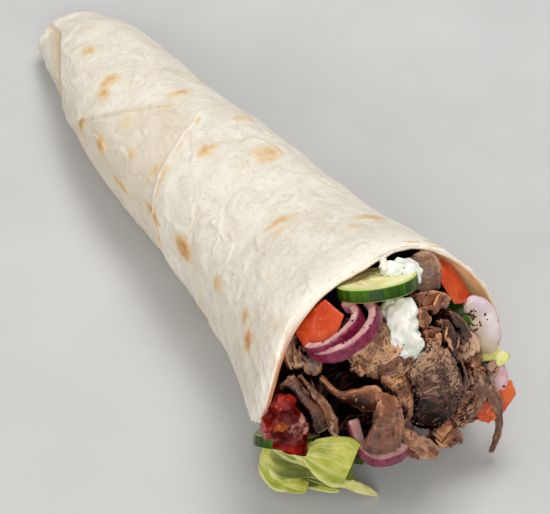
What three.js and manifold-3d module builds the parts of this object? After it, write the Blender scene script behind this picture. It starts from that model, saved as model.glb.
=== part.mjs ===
// A lavash kebab wrap lying on its side: a thin flatbread rolled round shaved meat, salad and sauces.
// Millimetres, +Z up. The closed end is at +Y, the open mouth at -Y, and the bread rests on Z = 0.
// The origin is on the flat underside, below the middle of the roll.
import * as THREE from "three";
import { ConvexGeometry } from "three/addons/geometries/ConvexGeometry.js";
import { mergeVertices } from "three/addons/utils/BufferGeometryUtils.js";
import Module from "manifold-3d";

// ---------- driving dimensions ----------

const GAP = 0.35; // clearance between neighbouring pieces
const BREAD_WALL = 3.2; // the two turns of lavash together
const RIM_WALL = 1.7; // the single turn at the mouth's free edge
const LAYER = 1.4; // step down from the outer turn to the one below it
const SINK = 2.5; // how far the underside is pressed flat
const ROUNDNESS = 2.15; // exponent of the roll's cross-section, 2 is an ellipse
const END = 140; // where the roll starts to close
const END_CAP = 9; // length of the rounded closed end
const CAVITY_END = 134; // where the filling stops inside

// The roll's outer surface: distance along Y, centre in X, half width, height.
const ROLL = [
  [-110, -2, 46.5, 90],
  [-90, 2.5, 44, 85],
  [-70, 5, 40.5, 77],
  [-45, 5.5, 35.5, 67],
  [-15, 4, 32, 59],
  [20, 1, 30, 54],
  [55, -3, 27.5, 47],
  [90, -3.5, 24.5, 39],
  [120, -3, 20.5, 31],
  [140, -2, 16, 22],
];
// The mouth's free edge: angle round the roll (0 is +X, 90 is up), distance along Y.
const RIM = [
  [0, -101],
  [25, -95],
  [50, -83],
  [75, -80],
  [95, -85],
  [120, -89],
  [135, -93],
  [150, -101],
  [166, -104],
  [182, -93],
  [204, -74],
  [240, -72],
  [270, -76],
  [310, -86],
  [340, -98],
  [360, -101],
];
// The free edges of the outer turn, which part to show the turn below: angle, front edge, back edge.
const PARTING = [
  [84, 42, 46],
  [96, 30, 49],
  [123, 22, 58],
  [156, 15, 72],
  [190, 3, 86],
  [225, -12, 95],
  [262, -22, 100],
];

// Salad
const SLICE = { radius: 13, thickness: 4.5 }; // cucumber
const END_SLICE = { radius: 11, thickness: 4.3 }; // cucumber, cut nearer its end
const OUTER_RING = { radius: 13.4, wall: 3.6, height: 4.8 }; // red onion
const INNER_RING = { radius: 9.3, wall: 3.2, height: 4.8 };
const LOW_RING = { radius: 12, wall: 3.6, height: 4.6 };
const LEAF = 1.6; // thickness of lettuce
const SLIVER = 0.04; // facets that differ by less are merged

// ---------- geometry helpers ----------

const wasm = await Module();
wasm.setup();
const radians = THREE.MathUtils.degToRad;
const vector = (p) => new THREE.Vector3(...p);

/** Reads column k of a table at x, along a smooth curve through its rows. */
function read(table, x, k = 1) {
  const last = table.length - 1;
  let i = 0;
  while (i < last - 1 && x > table[i + 1][0]) i++;
  const slope = (a, b) => (table[b][k] - table[a][k]) / (table[b][0] - table[a][0]);
  const [a, b] = [table[i], table[i + 1]];
  const span = b[0] - a[0];
  const t = THREE.MathUtils.clamp((x - a[0]) / span, 0, 1);
  const m0 = slope(Math.max(i - 1, 0), i + 1) * span;
  const m1 = slope(i, Math.min(i + 2, last)) * span;
  const [t2, t3] = [t * t, t * t * t];
  return (2 * t3 - 3 * t2 + 1) * a[k] + (t3 - 2 * t2 + t) * m0 + (3 * t2 - 2 * t3) * b[k] + (t3 - t2) * m1;
}

/** A point of the roll's skin, lifted off the outer surface, with the section shrunk by scale about its middle. */
function skin(y, angle, lift = 0, scale = 1) {
  const along = THREE.MathUtils.clamp(y, ROLL[0][0], ROLL.at(-1)[0]);
  const [centre, half, height] = [1, 2, 3].map((k) => read(ROLL, along, k));
  const round = (v) => Math.sign(v) * Math.abs(v) ** (2 / ROUNDNESS);
  const middle = (height - SINK) / 2;
  const x = centre + round(Math.cos(angle)) * (half + lift) * scale;
  const z = middle + round(Math.sin(angle)) * ((height + SINK) / 2 + lift) * scale;
  return new THREE.Vector3(x, y, Math.max(z, -Math.min(lift, 0)));
}

/** A closed body through rings of points, capped by a point at each end. */
function loft(rings, start, end) {
  const n = rings[0].length;
  const last = rings.length - 1;
  const at = (ring, k) => 1 + ring * n + (k % n);
  const points = [start, ...rings.flat(), end];
  const index = [];
  for (let k = 0; k < n; k++) {
    index.push(0, at(0, k + 1), at(0, k), at(last, k), at(last, k + 1), points.length - 1);
    for (let r = 0; r < last; r++) {
      index.push(at(r, k), at(r, k + 1), at(r + 1, k + 1), at(r, k), at(r + 1, k + 1), at(r + 1, k));
    }
  }
  const geometry = new THREE.BufferGeometry().setFromPoints(points);
  geometry.setIndex(index);
  return geometry;
}

/** A closed geometry as a manifold-3d solid. */
function solidOf(geometry) {
  const bare = new THREE.BufferGeometry();
  const source = geometry.index ? geometry.toNonIndexed() : geometry;
  bare.setAttribute("position", source.getAttribute("position").clone());
  const merged = mergeVertices(bare, 1e-3);
  const vertProperties = merged.attributes.position.array;
  const triVerts = new Uint32Array(merged.index.array);
  const made = new wasm.Manifold(new wasm.Mesh({ numProp: 3, vertProperties, triVerts }));
  if (made.volume() > 0) return made;
  return new wasm.Manifold(new wasm.Mesh({ numProp: 3, vertProperties, triVerts: triVerts.reverse() }));
}

/** The largest body of a solid, as a geometry. */
function geometryOf(solid) {
  const [largest] = solid.decompose().sort((a, b) => b.volume() - a.volume());
  const mesh = largest.getMesh();
  const geometry = new THREE.BufferGeometry();
  geometry.setAttribute("position", new THREE.BufferAttribute(mesh.vertProperties, 3));
  geometry.setIndex(new THREE.BufferAttribute(mesh.triVerts, 1));
  return geometry;
}

// ---------- shapes, each a function of how far it is grown outwards ----------

/** A round slice: centre, and the way its upper face looks. */
function disc({ radius, thickness }, centre, normal) {
  const turn = new THREE.Quaternion().setFromUnitVectors(new THREE.Vector3(0, 1, 0), vector(normal).normalize());
  return (grow) =>
    new THREE.CylinderGeometry(radius + grow, radius + grow, thickness + 2 * grow, 28)
      .applyQuaternion(turn)
      .translate(...centre);
}

/** Part of an onion ring that faces normal. It sweeps from one angle to another, measured from the way start points. */
function ringArc({ radius, wall, height }, centre, normal, start, from, to) {
  const up = vector(normal).normalize();
  const first = vector(start).addScaledVector(up, -vector(start).dot(up)).normalize();
  const basis = new THREE.Matrix4().makeBasis(first, new THREE.Vector3().crossVectors(up, first), up);
  return (grow) => {
    const extra = grow / radius;
    const [low, high] = [radians(from) - extra, radians(to) + extra];
    const depth = height + 2 * grow;
    const shape = new THREE.Shape()
      .absarc(0, 0, radius + grow, low, high, false)
      .absarc(0, 0, radius - wall - grow, high, low, true);
    return new THREE.ExtrudeGeometry(shape, { depth, bevelEnabled: false, curveSegments: 12 })
      .translate(0, 0, -depth / 2)
      .applyMatrix4(basis)
      .translate(...centre);
  };
}

const SLAB_STEPS = 6;
const SLAB_SIDES = 8;

/** A soft strip along a route: its widths from end to end, its thickness, and the way it faces. */
function slab(route, widths, thickness, normal) {
  const curve = new THREE.CatmullRomCurve3(route.map(vector), false, "centripetal");
  const face = vector(normal).normalize();
  const table = widths.map((w, i) => [i / (widths.length - 1), w]);
  return (grow) => {
    const section = (_, i) => {
      const t = i / SLAB_STEPS;
      const tangent = curve.getTangentAt(t);
      const side = new THREE.Vector3().crossVectors(tangent, face).normalize();
      const out = new THREE.Vector3().crossVectors(side, tangent).normalize();
      const taper = i % SLAB_STEPS === 0 ? 0.75 : 1;
      const half = (read(table, t) / 2) * taper + grow;
      const deep = (thickness / 2) * taper + grow;
      const centre = curve.getPointAt(t);
      return Array.from({ length: SLAB_SIDES }, (__, k) => {
        const a = ((k + 0.5) / SLAB_SIDES) * 2 * Math.PI;
        const across = Math.sign(Math.cos(a)) * Math.abs(Math.cos(a)) ** 0.7;
        return centre.clone().addScaledVector(side, across * half).addScaledVector(out, Math.sin(a) * deep);
      });
    };
    const rings = Array.from({ length: SLAB_STEPS + 1 }, section);
    const beyond = (t, sign) => curve.getPointAt(t).addScaledVector(curve.getTangentAt(t), sign * (thickness / 4 + 1.3 * grow));
    return loft(rings, beyond(0, -1), beyond(1, 1));
  };
}

/** A chunk with flat cut faces: the hull of its front corners and of the same corners pushed back by depth. */
function chunk(corners, depth) {
  const middle = new THREE.Vector3();
  const points = corners.flatMap((c) => [vector(c), vector(c).add(vector(depth))]);
  points.forEach((p) => middle.addScaledVector(p, 1 / points.length));
  return (grow) => {
    const moved = points.map((p) => p.clone().addScaledVector(p.clone().sub(middle).normalize(), 1.5 * grow));
    return new ConvexGeometry(moved);
  };
}

/** A rounded lump: centre and half sizes. */
function lump(centre, [x, y, z], detail = 2) {
  return (grow) => new THREE.IcosahedronGeometry(1, detail).scale(x + grow, y + grow, z + grow).translate(...centre);
}

// ---------- materials ----------

const finish = (color, roughness) => new THREE.MeshStandardMaterial({ color, roughness, metalness: 0 });
const BREAD = () => finish(0xe9dfcb, 0.8);
const MEAT = () => finish(0x7a5844, 0.55);
const DARK_MEAT = () => finish(0x553a2d, 0.6);
const CUCUMBER = () => finish(0x6f9a3c, 0.35);
const TOMATO = () => finish(0xc83a1c, 0.3);
const RED_ONION = () => finish(0xb0508c, 0.3);
const PALE_ONION = () => finish(0xd9c4cc, 0.35);
const YOGURT = () => finish(0xf4f3ea, 0.3);
const SALSA = () => finish(0xa31a12, 0.2);
const LETTUCE = () => finish(0xb4c45a, 0.4);

// ---------- the wrap ----------

const wrap = new THREE.Group();
const filling = new THREE.Group();
wrap.add(filling);
const placed = []; // the pieces so far, each grown by the gap

/** Adds a named piece to a group, made of one or more shapes joined, and cut clear of the pieces before it. */
function piece(parent, name, material, ...shapes) {
  const joined = (grow) => wasm.Manifold.union(shapes.map((shape) => solidOf(shape(grow))));
  const cut = placed.reduce((left, other) => left.subtract(other), joined(0));
  placed.push(joined(GAP));
  const geometry = geometryOf(cut.simplify(SLIVER));
  geometry.computeBoundingBox();
  const middle = geometry.boundingBox.getCenter(new THREE.Vector3());
  const mesh = new THREE.Mesh(geometry.translate(-middle.x, -middle.y, -middle.z), material());
  mesh.name = name;
  mesh.position.copy(middle);
  parent.add(mesh);
}

// The bread: one rolled sheet, open at the mouth and closed at the far end.
const AROUND = 32;
const OUTER_ROWS = 16;
const INNER_ROWS = 6;

function breadRoll(grow) {
  const angles = Array.from({ length: AROUND }, (_, k) => (k / AROUND) * 2 * Math.PI);
  const rim = (a) => read(RIM, THREE.MathUtils.radToDeg(a)) - grow;
  const end = vector([ROLL.at(-1)[1], 0, (ROLL.at(-1)[3] - SINK) / 2]);
  const rings = [];
  for (let r = INNER_ROWS; r >= 0; r--) {
    const t = (r / INNER_ROWS) ** 1.5;
    const lift = -grow - (r === 0 ? RIM_WALL : BREAD_WALL);
    rings.push(angles.map((a) => skin(THREE.MathUtils.lerp(rim(a), CAVITY_END - grow, t), a, lift)));
  }
  for (let r = 0; r <= OUTER_ROWS; r++) {
    rings.push(angles.map((a) => skin(THREE.MathUtils.lerp(rim(a), END, r / OUTER_ROWS), a, grow)));
  }
  for (const turn of [30, 60, 80]) {
    const y = END + (END_CAP + grow) * Math.sin(radians(turn));
    rings.push(angles.map((a) => skin(y, a, grow, Math.cos(radians(turn)))));
  }
  return loft(rings, end.clone().setY(CAVITY_END + 1 - grow), end.clone().setY(END + END_CAP + grow));
}

/** The space between the parted edges of the outer turn, down to the turn below. */
function partedSpace() {
  const rows = 22;
  const [first, last] = [PARTING[0][0], PARTING.at(-1)[0]];
  const rings = Array.from({ length: rows + 1 }, (_, i) => {
    const degrees = THREE.MathUtils.lerp(first, last, i / rows);
    const [front, back] = [read(PARTING, degrees, 1), read(PARTING, degrees, 2)];
    const across = [0, 0.33, 0.67, 1].map((t) => THREE.MathUtils.lerp(front, back, t));
    const floor = across.map((y) => skin(y, radians(degrees), -LAYER));
    const above = across.map((y) => skin(y, radians(degrees), 4)).reverse();
    return [...floor, ...above];
  });
  const middle = (ring) => ring.reduce((sum, p) => sum.addScaledVector(p, 1 / ring.length), new THREE.Vector3());
  return loft(rings, middle(rings[0]), middle(rings.at(-1)));
}

// The packed meat: full inside the roll, with a blunt end in the mouth. Distance along Y, scale of its section.
const CORE_CLEARANCE = 0.4;
const CORE = [[-105, 0.22], [-101, 0.46], [-95, 0.67], [-88, 0.81], [-80, 0.92], [-72, 1], [-45, 1], [20, 1], [90, 1], [131, 0.85]];

function meatCore(grow) {
  const sides = 16;
  const lift = -BREAD_WALL - CORE_CLEARANCE + grow;
  const ring = ([y, scale]) => Array.from({ length: sides }, (_, k) => skin(y, (k / sides) * 2 * Math.PI, lift, scale));
  return loft(CORE.map(ring), vector([-1, -106.5, 42]), vector([-2, 132.5, 11]));
}

placed.push(solidOf(partedSpace()));
piece(wrap, "lavash", BREAD, breadRoll);

// Salad and sauce at the top of the mouth.
const TOWARDS_MOUTH = [-0.32, -0.61, 0.72];
piece(filling, "cucumber_top", CUCUMBER, disc(SLICE, [3.4, -88.6, 79.4], [0.11, 0.45, 0.89]));
piece(filling, "yogurt_top", YOGURT, lump([12.5, -87, 80.5], [6.5, 5, 3.4], 1));
piece(filling, "tomato_left", TOMATO,
  chunk([[-26, -88, 71], [-20, -85, 77], [-15, -89, 80], [-12, -96, 78], [-17, -100, 74], [-26, -96, 70]], [3, 6, -7]));
piece(filling, "onion_outer", RED_ONION,
  ringArc(OUTER_RING, [-13.2, -96.6, 73.2], [-0.38, 0.35, 0.86], [0.92, -0.02, 0.4], -186, 12));
piece(filling, "onion_inner", RED_ONION,
  ringArc(INNER_RING, [-14.6, -95.4, 74], [-0.38, 0.35, 0.86], [0.92, -0.02, 0.4], -176, 40));
piece(filling, "tomato_right_top", TOMATO,
  chunk([[28, -88, 70.5], [33, -82.5, 69], [36, -81, 66], [38, -93, 54.5], [29, -97.5, 62]], [3, 5, -4]));

// The packed meat behind, which runs down the inside of the roll.
piece(filling, "meat_core", DARK_MEAT, meatCore);

piece(filling, "cucumber_right", CUCUMBER, disc({ radius: 12, thickness: 3.4 }, [33, -89, 51], [0.92, 0, 0.39]));

// Low in the mouth: salad, sauce and leaves.
piece(filling, "onion_low", RED_ONION,
  ringArc(LOW_RING, [-2.5, -104, 23.5], [-0.1, -0.19, 0.98], [1, 0, 0], -205, -5));
piece(filling, "cucumber_left", CUCUMBER, disc(END_SLICE, [-29, -91.5, 22.7], [0.25, 0.45, 0.86]));
piece(filling, "yogurt_drip", YOGURT,
  slab([[7, -96, 76], [5.5, -102, 73], [6, -107, 68], [8, -110, 62]], [15, 12, 10, 6.5], 6, TOWARDS_MOUTH));
piece(filling, "salsa", SALSA,
  lump([-34, -96, 52], [4.5, 4, 6], 1), lump([-36, -93, 42], [5.6, 5, 7], 1), lump([-32, -100, 43], [6.5, 5.5, 6], 1),
  lump([-28.5, -102.5, 34], [7, 5.5, 6.5], 1));
piece(filling, "lettuce_curl", LETTUCE,
  slab([[-30, -101, 19], [-26, -105, 23], [-20, -108, 26], [-13, -110.5, 28]], [8, 17, 17, 8], LEAF, [-0.4, -0.75, 0.5]),
  slab([[-25, -104.5, 19], [-20, -106.5, 12], [-14.5, -108.5, 7], [-6.5, -110, 2.2]], [8, 8, 6.5, 2.4], LEAF, TOWARDS_MOUTH));
piece(filling, "lettuce_under", LETTUCE,
  slab([[-34.5, -85.5, 9], [-31, -90.5, 8], [-25, -96, 7.5], [-17, -100.5, 7]], [12, 15, 14, 9], 2 * LEAF, TOWARDS_MOUTH));
piece(filling, "cucumber_low", CUCUMBER,
  chunk([[-12, -103, 16], [-7.5, -105, 14], [-8, -104.5, 10.5], [-12, -102, 11.5]], [2, 7, 1]));

// Along the right-hand side of the mouth: a shred of meat that hangs out, and salad.
piece(filling, "meat_strip_hanging", MEAT,
  slab([[35, -109.5, 32], [37.5, -112.5, 26], [38.3, -113.8, 19], [38.5, -114, 12], [37.2, -114, 6], [35.7, -114.3, 3]],
    [3.4, 3, 2.8, 3, 3, 2], 2, TOWARDS_MOUTH));
piece(filling, "tomato_right_edge", TOMATO,
  chunk([[37, -111.5, 24], [42.5, -109, 30], [45.5, -109, 30], [46, -110, 27], [42, -112.5, 23], [38, -114, 20]], [2, 4, -1]));
piece(filling, "onion_right_low", PALE_ONION,
  slab([[42.5, -105, 34], [42.5, -107, 30], [39.5, -108.5, 26], [37, -109, 24]], [6, 6, 5, 4], 2.4, TOWARDS_MOUTH));
piece(filling, "lettuce_right", LETTUCE,
  slab([[35, -99.5, 37], [40, -102.5, 36.5], [45, -105, 36.5]], [4, 5.5, 4.5], LEAF, TOWARDS_MOUTH));
piece(filling, "onion_right_top", PALE_ONION,
  slab([[40, -88, 54], [43, -91.5, 49], [43, -95, 44], [40.5, -97, 39]], [8, 10, 10, 7], 2.4, [-0.55, -0.6, 0.58]));
piece(filling, "tomato_right_low", TOMATO,
  chunk([[29, -110, 20], [33, -110, 25], [36.5, -110.5, 26], [36.5, -113, 20.5], [34, -114, 18.5]], [1.5, 5, 1]));

// Shaved meat in front, laid over one another.
piece(filling, "meat_fold", MEAT,
  slab([[-24, -104, 63], [-19, -110, 58.5], [-13, -112, 57], [-6, -114, 52]], [1.8, 3.5, 8, 12], 3.2, TOWARDS_MOUTH),
  slab([[-7, -114, 54], [-4.5, -116.5, 45], [-6, -115, 36], [-4, -112, 27]], [10, 14, 14, 8], 3.2, TOWARDS_MOUTH));
piece(filling, "meat_drape", MEAT,
  slab([[-15, -99, 70], [-9, -102, 70], [-3, -107, 65], [0, -111, 56], [1, -114, 47], [1.5, -115, 38]],
    [12, 18, 19, 15, 9, 6], 4, TOWARDS_MOUTH));
piece(filling, "meat_flap", MEAT,
  slab([[0, -112, 32], [4, -113, 27], [8.5, -113, 20], [13, -112.5, 13]], [8, 10, 11, 7], 3, [-0.2, -0.75, 0.63]));
piece(filling, "meat_slab_left", MEAT,
  slab([[-33, -97, 61], [-30.5, -101, 57.5], [-28, -105, 51], [-24.5, -109, 44], [-22, -110, 39]],
    [7, 8.5, 8.5, 8.5, 6], 4.5, TOWARDS_MOUTH));
piece(filling, "meat_finger_right", DARK_MEAT,
  slab([[30, -106.5, 31], [36, -105.5, 33], [41, -105, 36]], [7, 7, 3.5], 4, TOWARDS_MOUTH));
piece(filling, "meat_ridge", DARK_MEAT,
  slab([[22.5, -107.5, 51], [23.5, -109.5, 42], [24, -109, 33], [23, -107.5, 25]], [4, 5.5, 5.5, 4], 5, TOWARDS_MOUTH));
piece(filling, "meat_chunk", DARK_MEAT,
  slab([[8, -104, 64], [11, -108, 55], [12.5, -109, 44], [13.5, -108, 33], [14.5, -106, 25]], [10, 17, 19, 17, 9], 11, TOWARDS_MOUTH));
piece(filling, "meat_cluster", MEAT,
  slab([[28, -105, 41], [30.5, -107.5, 33], [28.5, -109, 26], [24, -109, 21]], [8, 10, 10, 7], 7, TOWARDS_MOUTH));
piece(filling, "meat_tip", MEAT,
  slab([[15.5, -108.5, 24], [20, -110, 19], [24.5, -110.5, 12]], [8, 9, 4], 4.5, TOWARDS_MOUTH));
piece(filling, "cucumber_crumb", CUCUMBER, lump([21.5, -105.5, 8.5], [2.2, 2.4, 1.6], 1));
piece(filling, "meat_curl_right", MEAT,
  slab([[29, -104.5, 42], [32.5, -103.5, 42], [36, -102, 39.5]], [5, 6, 4], 4, TOWARDS_MOUTH));
piece(filling, "meat_sliver_left", MEAT,
  slab([[-28, -88, 70], [-28.5, -92.5, 66], [-28.5, -96, 62]], [5, 5, 6], 3.5, TOWARDS_MOUTH));
piece(filling, "meat_shred_left", MEAT,
  slab([[-25, -93, 67], [-24, -97, 64.5], [-25.5, -100, 61]], [4.5, 5, 4], 3, TOWARDS_MOUTH));
piece(filling, "meat_shred_middle", MEAT,
  slab([[9.5, -105.5, 66.5], [13, -107, 62], [16, -107.5, 56.5]], [6, 8, 6], 4, TOWARDS_MOUTH));
piece(filling, "meat_striped", MEAT,
  slab([[16.5, -102.5, 64.5], [19.5, -105.5, 58.5], [21.5, -107.5, 51]], [6, 8, 7], 5, TOWARDS_MOUTH));
piece(filling, "meat_slice_right", MEAT,
  slab([[25, -102.5, 57.5], [28.5, -103.5, 50.5], [33, -100, 42]], [6, 9, 7], 5, TOWARDS_MOUTH));
piece(filling, "meat_edge_right", DARK_MEAT,
  slab([[22.5, -98.5, 64.5], [26, -101, 58.5], [29, -103, 53]], [4, 5.5, 4], 4, TOWARDS_MOUTH));
piece(filling, "meat_shred_top", MEAT,
  slab([[10, -97, 72.5], [17, -97, 70], [25, -95.5, 65]], [5, 6, 5], 4, TOWARDS_MOUTH));
piece(filling, "meat_slice_grey", MEAT,
  slab([[24, -82, 73], [23, -87, 71], [20, -92, 69]], [7, 8, 6], 4, TOWARDS_MOUTH));

export default wrap;
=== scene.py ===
"""The looks of a lavash kebab wrap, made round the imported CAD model.

Shapes are worked out in millimetres in the model's own frame and turned into metres when a mesh is made. The
mouth of the roll faces -Y and its closed end +Y. Each filling piece is placed from the middle of its CAD
node's box. Angles round the roll are in degrees, 0 towards +X and 90 up. A seed only picks which random
pattern a surface gets."""
import math

import bmesh
import bpy
import numpy as np
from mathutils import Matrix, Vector


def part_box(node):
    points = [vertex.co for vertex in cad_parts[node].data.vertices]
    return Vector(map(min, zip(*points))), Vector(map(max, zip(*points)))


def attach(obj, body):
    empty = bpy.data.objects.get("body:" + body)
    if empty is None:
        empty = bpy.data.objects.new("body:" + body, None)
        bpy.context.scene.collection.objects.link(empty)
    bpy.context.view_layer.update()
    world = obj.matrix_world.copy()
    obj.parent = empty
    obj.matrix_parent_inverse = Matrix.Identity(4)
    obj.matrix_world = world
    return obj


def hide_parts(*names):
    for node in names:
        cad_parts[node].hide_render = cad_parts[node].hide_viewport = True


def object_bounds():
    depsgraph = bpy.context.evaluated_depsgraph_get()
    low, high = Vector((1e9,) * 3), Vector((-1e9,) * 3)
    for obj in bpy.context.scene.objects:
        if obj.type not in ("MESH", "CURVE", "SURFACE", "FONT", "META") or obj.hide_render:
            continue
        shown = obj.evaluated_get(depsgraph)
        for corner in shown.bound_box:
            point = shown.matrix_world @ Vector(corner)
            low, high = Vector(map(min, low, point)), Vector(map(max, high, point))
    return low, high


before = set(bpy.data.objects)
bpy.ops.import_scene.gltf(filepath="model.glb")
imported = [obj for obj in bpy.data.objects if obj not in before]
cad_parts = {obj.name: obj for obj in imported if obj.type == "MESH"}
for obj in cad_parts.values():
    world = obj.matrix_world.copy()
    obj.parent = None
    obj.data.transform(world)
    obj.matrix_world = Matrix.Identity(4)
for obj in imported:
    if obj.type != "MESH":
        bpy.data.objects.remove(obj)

MM = 0.001
CAD_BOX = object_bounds()

# ---------------------------------------------------------------- camera and light

AZIMUTH, ELEVATION = math.radians(-27.8), math.radians(46)
DISTANCE = 750 * MM
LENS = 142
TARGET = Vector((0, -27.1, 35)) * MM
# The soft lamps: name, place and size in metres, power, colour.
LAMPS = [
    ["key", (0.3, 0.2, 1.15), (0.6, 0.5), 8.2, (1, 0.985, 0.96)],
    ["left", (-1.15, 0.15, 0.6), (0.6, 0.5), 2.2, (1, 0.98, 0.95)],
    ["front", (-0.55, -1.05, 0.8), (0.8, 0.6), 8, (1, 0.98, 0.95)],
]
SKY, SKY_STRENGTH = (0.98, 0.98, 1, 1), 0.36


def add_object(name, data):
    made = bpy.data.objects.new(name, data)
    bpy.context.scene.collection.objects.link(made)
    return made


def camera():
    flat = math.cos(ELEVATION)
    back = Vector((math.sin(AZIMUTH) * flat, -math.cos(AZIMUTH) * flat, math.sin(ELEVATION)))
    made = add_object("camera", bpy.data.cameras.new("camera"))
    made.data.lens = LENS
    made.location = TARGET + back * DISTANCE
    made.rotation_euler = back.to_track_quat("Z", "Y").to_euler()
    bpy.context.scene.camera = made


def studio():
    for name, place, size, power, tint in LAMPS:
        lamp = bpy.data.lights.new(name, "AREA")
        lamp.shape = "RECTANGLE"
        lamp.size, lamp.size_y = size
        lamp.energy, lamp.color = power, tint
        made = add_object(name, lamp)
        made.location = place
        made.rotation_euler = (Vector(place) - TARGET).to_track_quat("Z", "Y").to_euler()
    world = bpy.data.worlds.new("studio")
    world.use_nodes = True
    sky = world.node_tree.nodes["Background"]
    sky.inputs["Color"].default_value = SKY
    sky.inputs["Strength"].default_value = SKY_STRENGTH
    bpy.context.scene.world = world
    bpy.context.scene.view_settings.view_transform = "Standard"


# ---------------------------------------------------------------- numbers over points

def unit(v):
    v = np.asarray(v, float)
    return v / np.linalg.norm(v, axis=-1, keepdims=True)


RNG = np.random.default_rng(11)
PERMUTATION = np.tile(RNG.permutation(256), 3)
GRADIENT = unit(RNG.normal(size=(256, 3)))


def cell_hash(cell):
    cell = cell & 255
    return PERMUTATION[PERMUTATION[PERMUTATION[cell[..., 0]] + cell[..., 1]] + cell[..., 2]]


def noise(points, size, seed=0):
    """Smooth noise from about -1 to 1, with features about size across."""
    at = np.asarray(points, float) / size + seed * 13.7
    cell = np.floor(at).astype(int)
    inside = at - cell
    fade = inside**3 * (inside * (inside * 6 - 15) + 10)
    total = np.zeros(at.shape[:-1])
    for corner in np.ndindex(2, 2, 2):
        weight = np.prod(np.where(corner, fade, 1 - fade), axis=-1)
        total += weight * np.einsum("...k,...k", GRADIENT[cell_hash(cell + corner)], inside - corner)
    return 1.6 * total


def layered(points, size, seed=0, layers=3):
    """Noise at several sizes, each half the one before."""
    return sum(noise(points, size / 2**k, seed + k) / 2**k for k in range(layers))


def drift(points, size, seed, layers=1, apart=1):
    """Noise in all three directions, to move points by."""
    return np.stack([layered(points, size, seed + k * apart, layers) for k in range(3)], -1)


def ridged(points, size, seed=0):
    """Noise with sharp crests at 1 and wide hollows at 0."""
    return np.clip(1 - 2.2 * np.abs(noise(points, size, seed)), 0, 1)


def cells(points, size, seed=0):
    """Distance to the nearest of scattered points about size apart, in sizes, and its random number."""
    at = np.asarray(points, float) / size + seed * 7.3
    cell = np.floor(at).astype(int)
    nearest = np.full(at.shape[:-1], 9.0)
    kind = np.zeros(at.shape[:-1])
    for step in np.ndindex(3, 3, 3):
        other = cell + step - 1
        number = cell_hash(other)
        away = np.linalg.norm(at - (other + 0.5 + 0.45 * GRADIENT[number]), axis=-1)
        closer = away < nearest
        nearest = np.where(closer, away, nearest)
        kind = np.where(closer, number / 255, kind)
    return nearest, kind


def smooth(low, high, x):
    t = np.clip((x - low) / (high - low), 0, 1)
    return t * t * (3 - 2 * t)


def within(x, start, whole, fading, end):
    """1 from whole to fading, and a smooth fall to 0 at start and end."""
    return smooth(start, whole, x) * (1 - smooth(fading, end, x))


def peak(x, width):
    """1 where x is 0, falling off over width to both sides."""
    return np.exp(-((x / width) ** 2))


def curved(v, power):
    """v raised to a power with its sign kept, which squares off a circle's sine and cosine."""
    return np.sign(v) * np.abs(v) ** power


def round_off(share, least):
    """How full a round end is, with share running from 0 at its tip to 1 where it is whole."""
    return np.sqrt(1 - (1 - np.clip(share, least, 1)) ** 2)


def push(points, way, amount):
    """Points moved along a way, each by its own amount."""
    return points + way * np.asarray(amount)[..., None]


def round_circle(count, first=0.5):
    """Angles evenly spaced round a circle, the first of them so many steps on."""
    return (np.arange(count) + first) / count * 2 * np.pi


def stacked(*parts):
    """Points, or rows of a table, from their parts."""
    return np.stack(np.broadcast_arrays(*parts), -1)


def read(table, x, k=1):
    """Column k of a table at x, along the same smooth curve as the CAD model's."""
    table = np.array(table, float)
    at, value = table[:, 0], table[:, k]
    last = len(at) - 1
    before = np.maximum(np.arange(last + 1) - 1, 0)
    after = np.minimum(np.arange(last + 1) + 1, last)
    slope = (value[after] - value[before]) / (at[after] - at[before])
    i = np.clip(np.searchsorted(at, x, side="right") - 1, 0, last - 1)
    span = at[i + 1] - at[i]
    t = np.clip((x - at[i]) / span, 0, 1)
    start = (2 * t**3 - 3 * t**2 + 1) * value[i] + (t**3 - 2 * t**2 + t) * slope[i] * span
    return start + (3 * t**2 - 2 * t**3) * value[i + 1] + (t**3 - t**2) * slope[i + 1] * span


# ---------------------------------------------------------------- meshes

def make(name, points, faces, masks):
    """A smooth-shaded object from points in millimetres. masks are numbers at each point, for materials."""
    mesh = bpy.data.meshes.new(name)
    mesh.from_pydata(np.asarray(points) * MM, [], faces)
    mesh.polygons.foreach_set("use_smooth", np.ones(len(mesh.polygons), bool))
    mesh.update()
    made = add_object(name, mesh)
    for mask, values in masks.items():
        add_mask(made, mask, values)
    return made


def add_mask(thing, name, values):
    layer = thing.data.attributes.new(name, "FLOAT", "POINT")
    layer.data.foreach_set("value", np.asarray(values, np.float32))


def points_of(thing):
    """An object's points in millimetres, and the way the surface faces at each."""
    places, facing = np.empty((2, len(thing.data.vertices) * 3))
    thing.data.vertices.foreach_get("co", places)
    thing.data.vertices.foreach_get("normal", facing)
    return places.reshape(-1, 3) / MM, facing.reshape(-1, 3)


def move_points(thing, points):
    thing.data.vertices.foreach_set("co", (points * MM).ravel())
    thing.data.update()


def ring_faces(rows, columns):
    """Quads between closed rings of points, with a fan at each end round one more point."""
    k = np.arange(columns)
    beside = (k + 1) % columns
    low = np.arange(rows - 1)[:, None] * columns
    quads = stacked(low + k, low + beside, low + columns + beside, low + columns + k).reshape(-1, 4)
    top = (rows - 1) * columns
    start = stacked(rows * columns, beside, k)
    end = stacked(rows * columns + 1, top + k, top + beside)
    return quads.tolist() + start.tolist() + end.tolist()


def facing_of(rings):
    """The way the surface faces at each point of closed rings."""
    around = np.roll(rings, -1, 1) - np.roll(rings, 1, 1)
    facing = np.cross(np.gradient(rings, axis=0), around)
    facing /= np.linalg.norm(facing, axis=-1, keepdims=True) + 1e-9
    outward = rings - rings.mean(1, keepdims=True)
    return facing * np.sign((facing * outward).sum())


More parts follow.
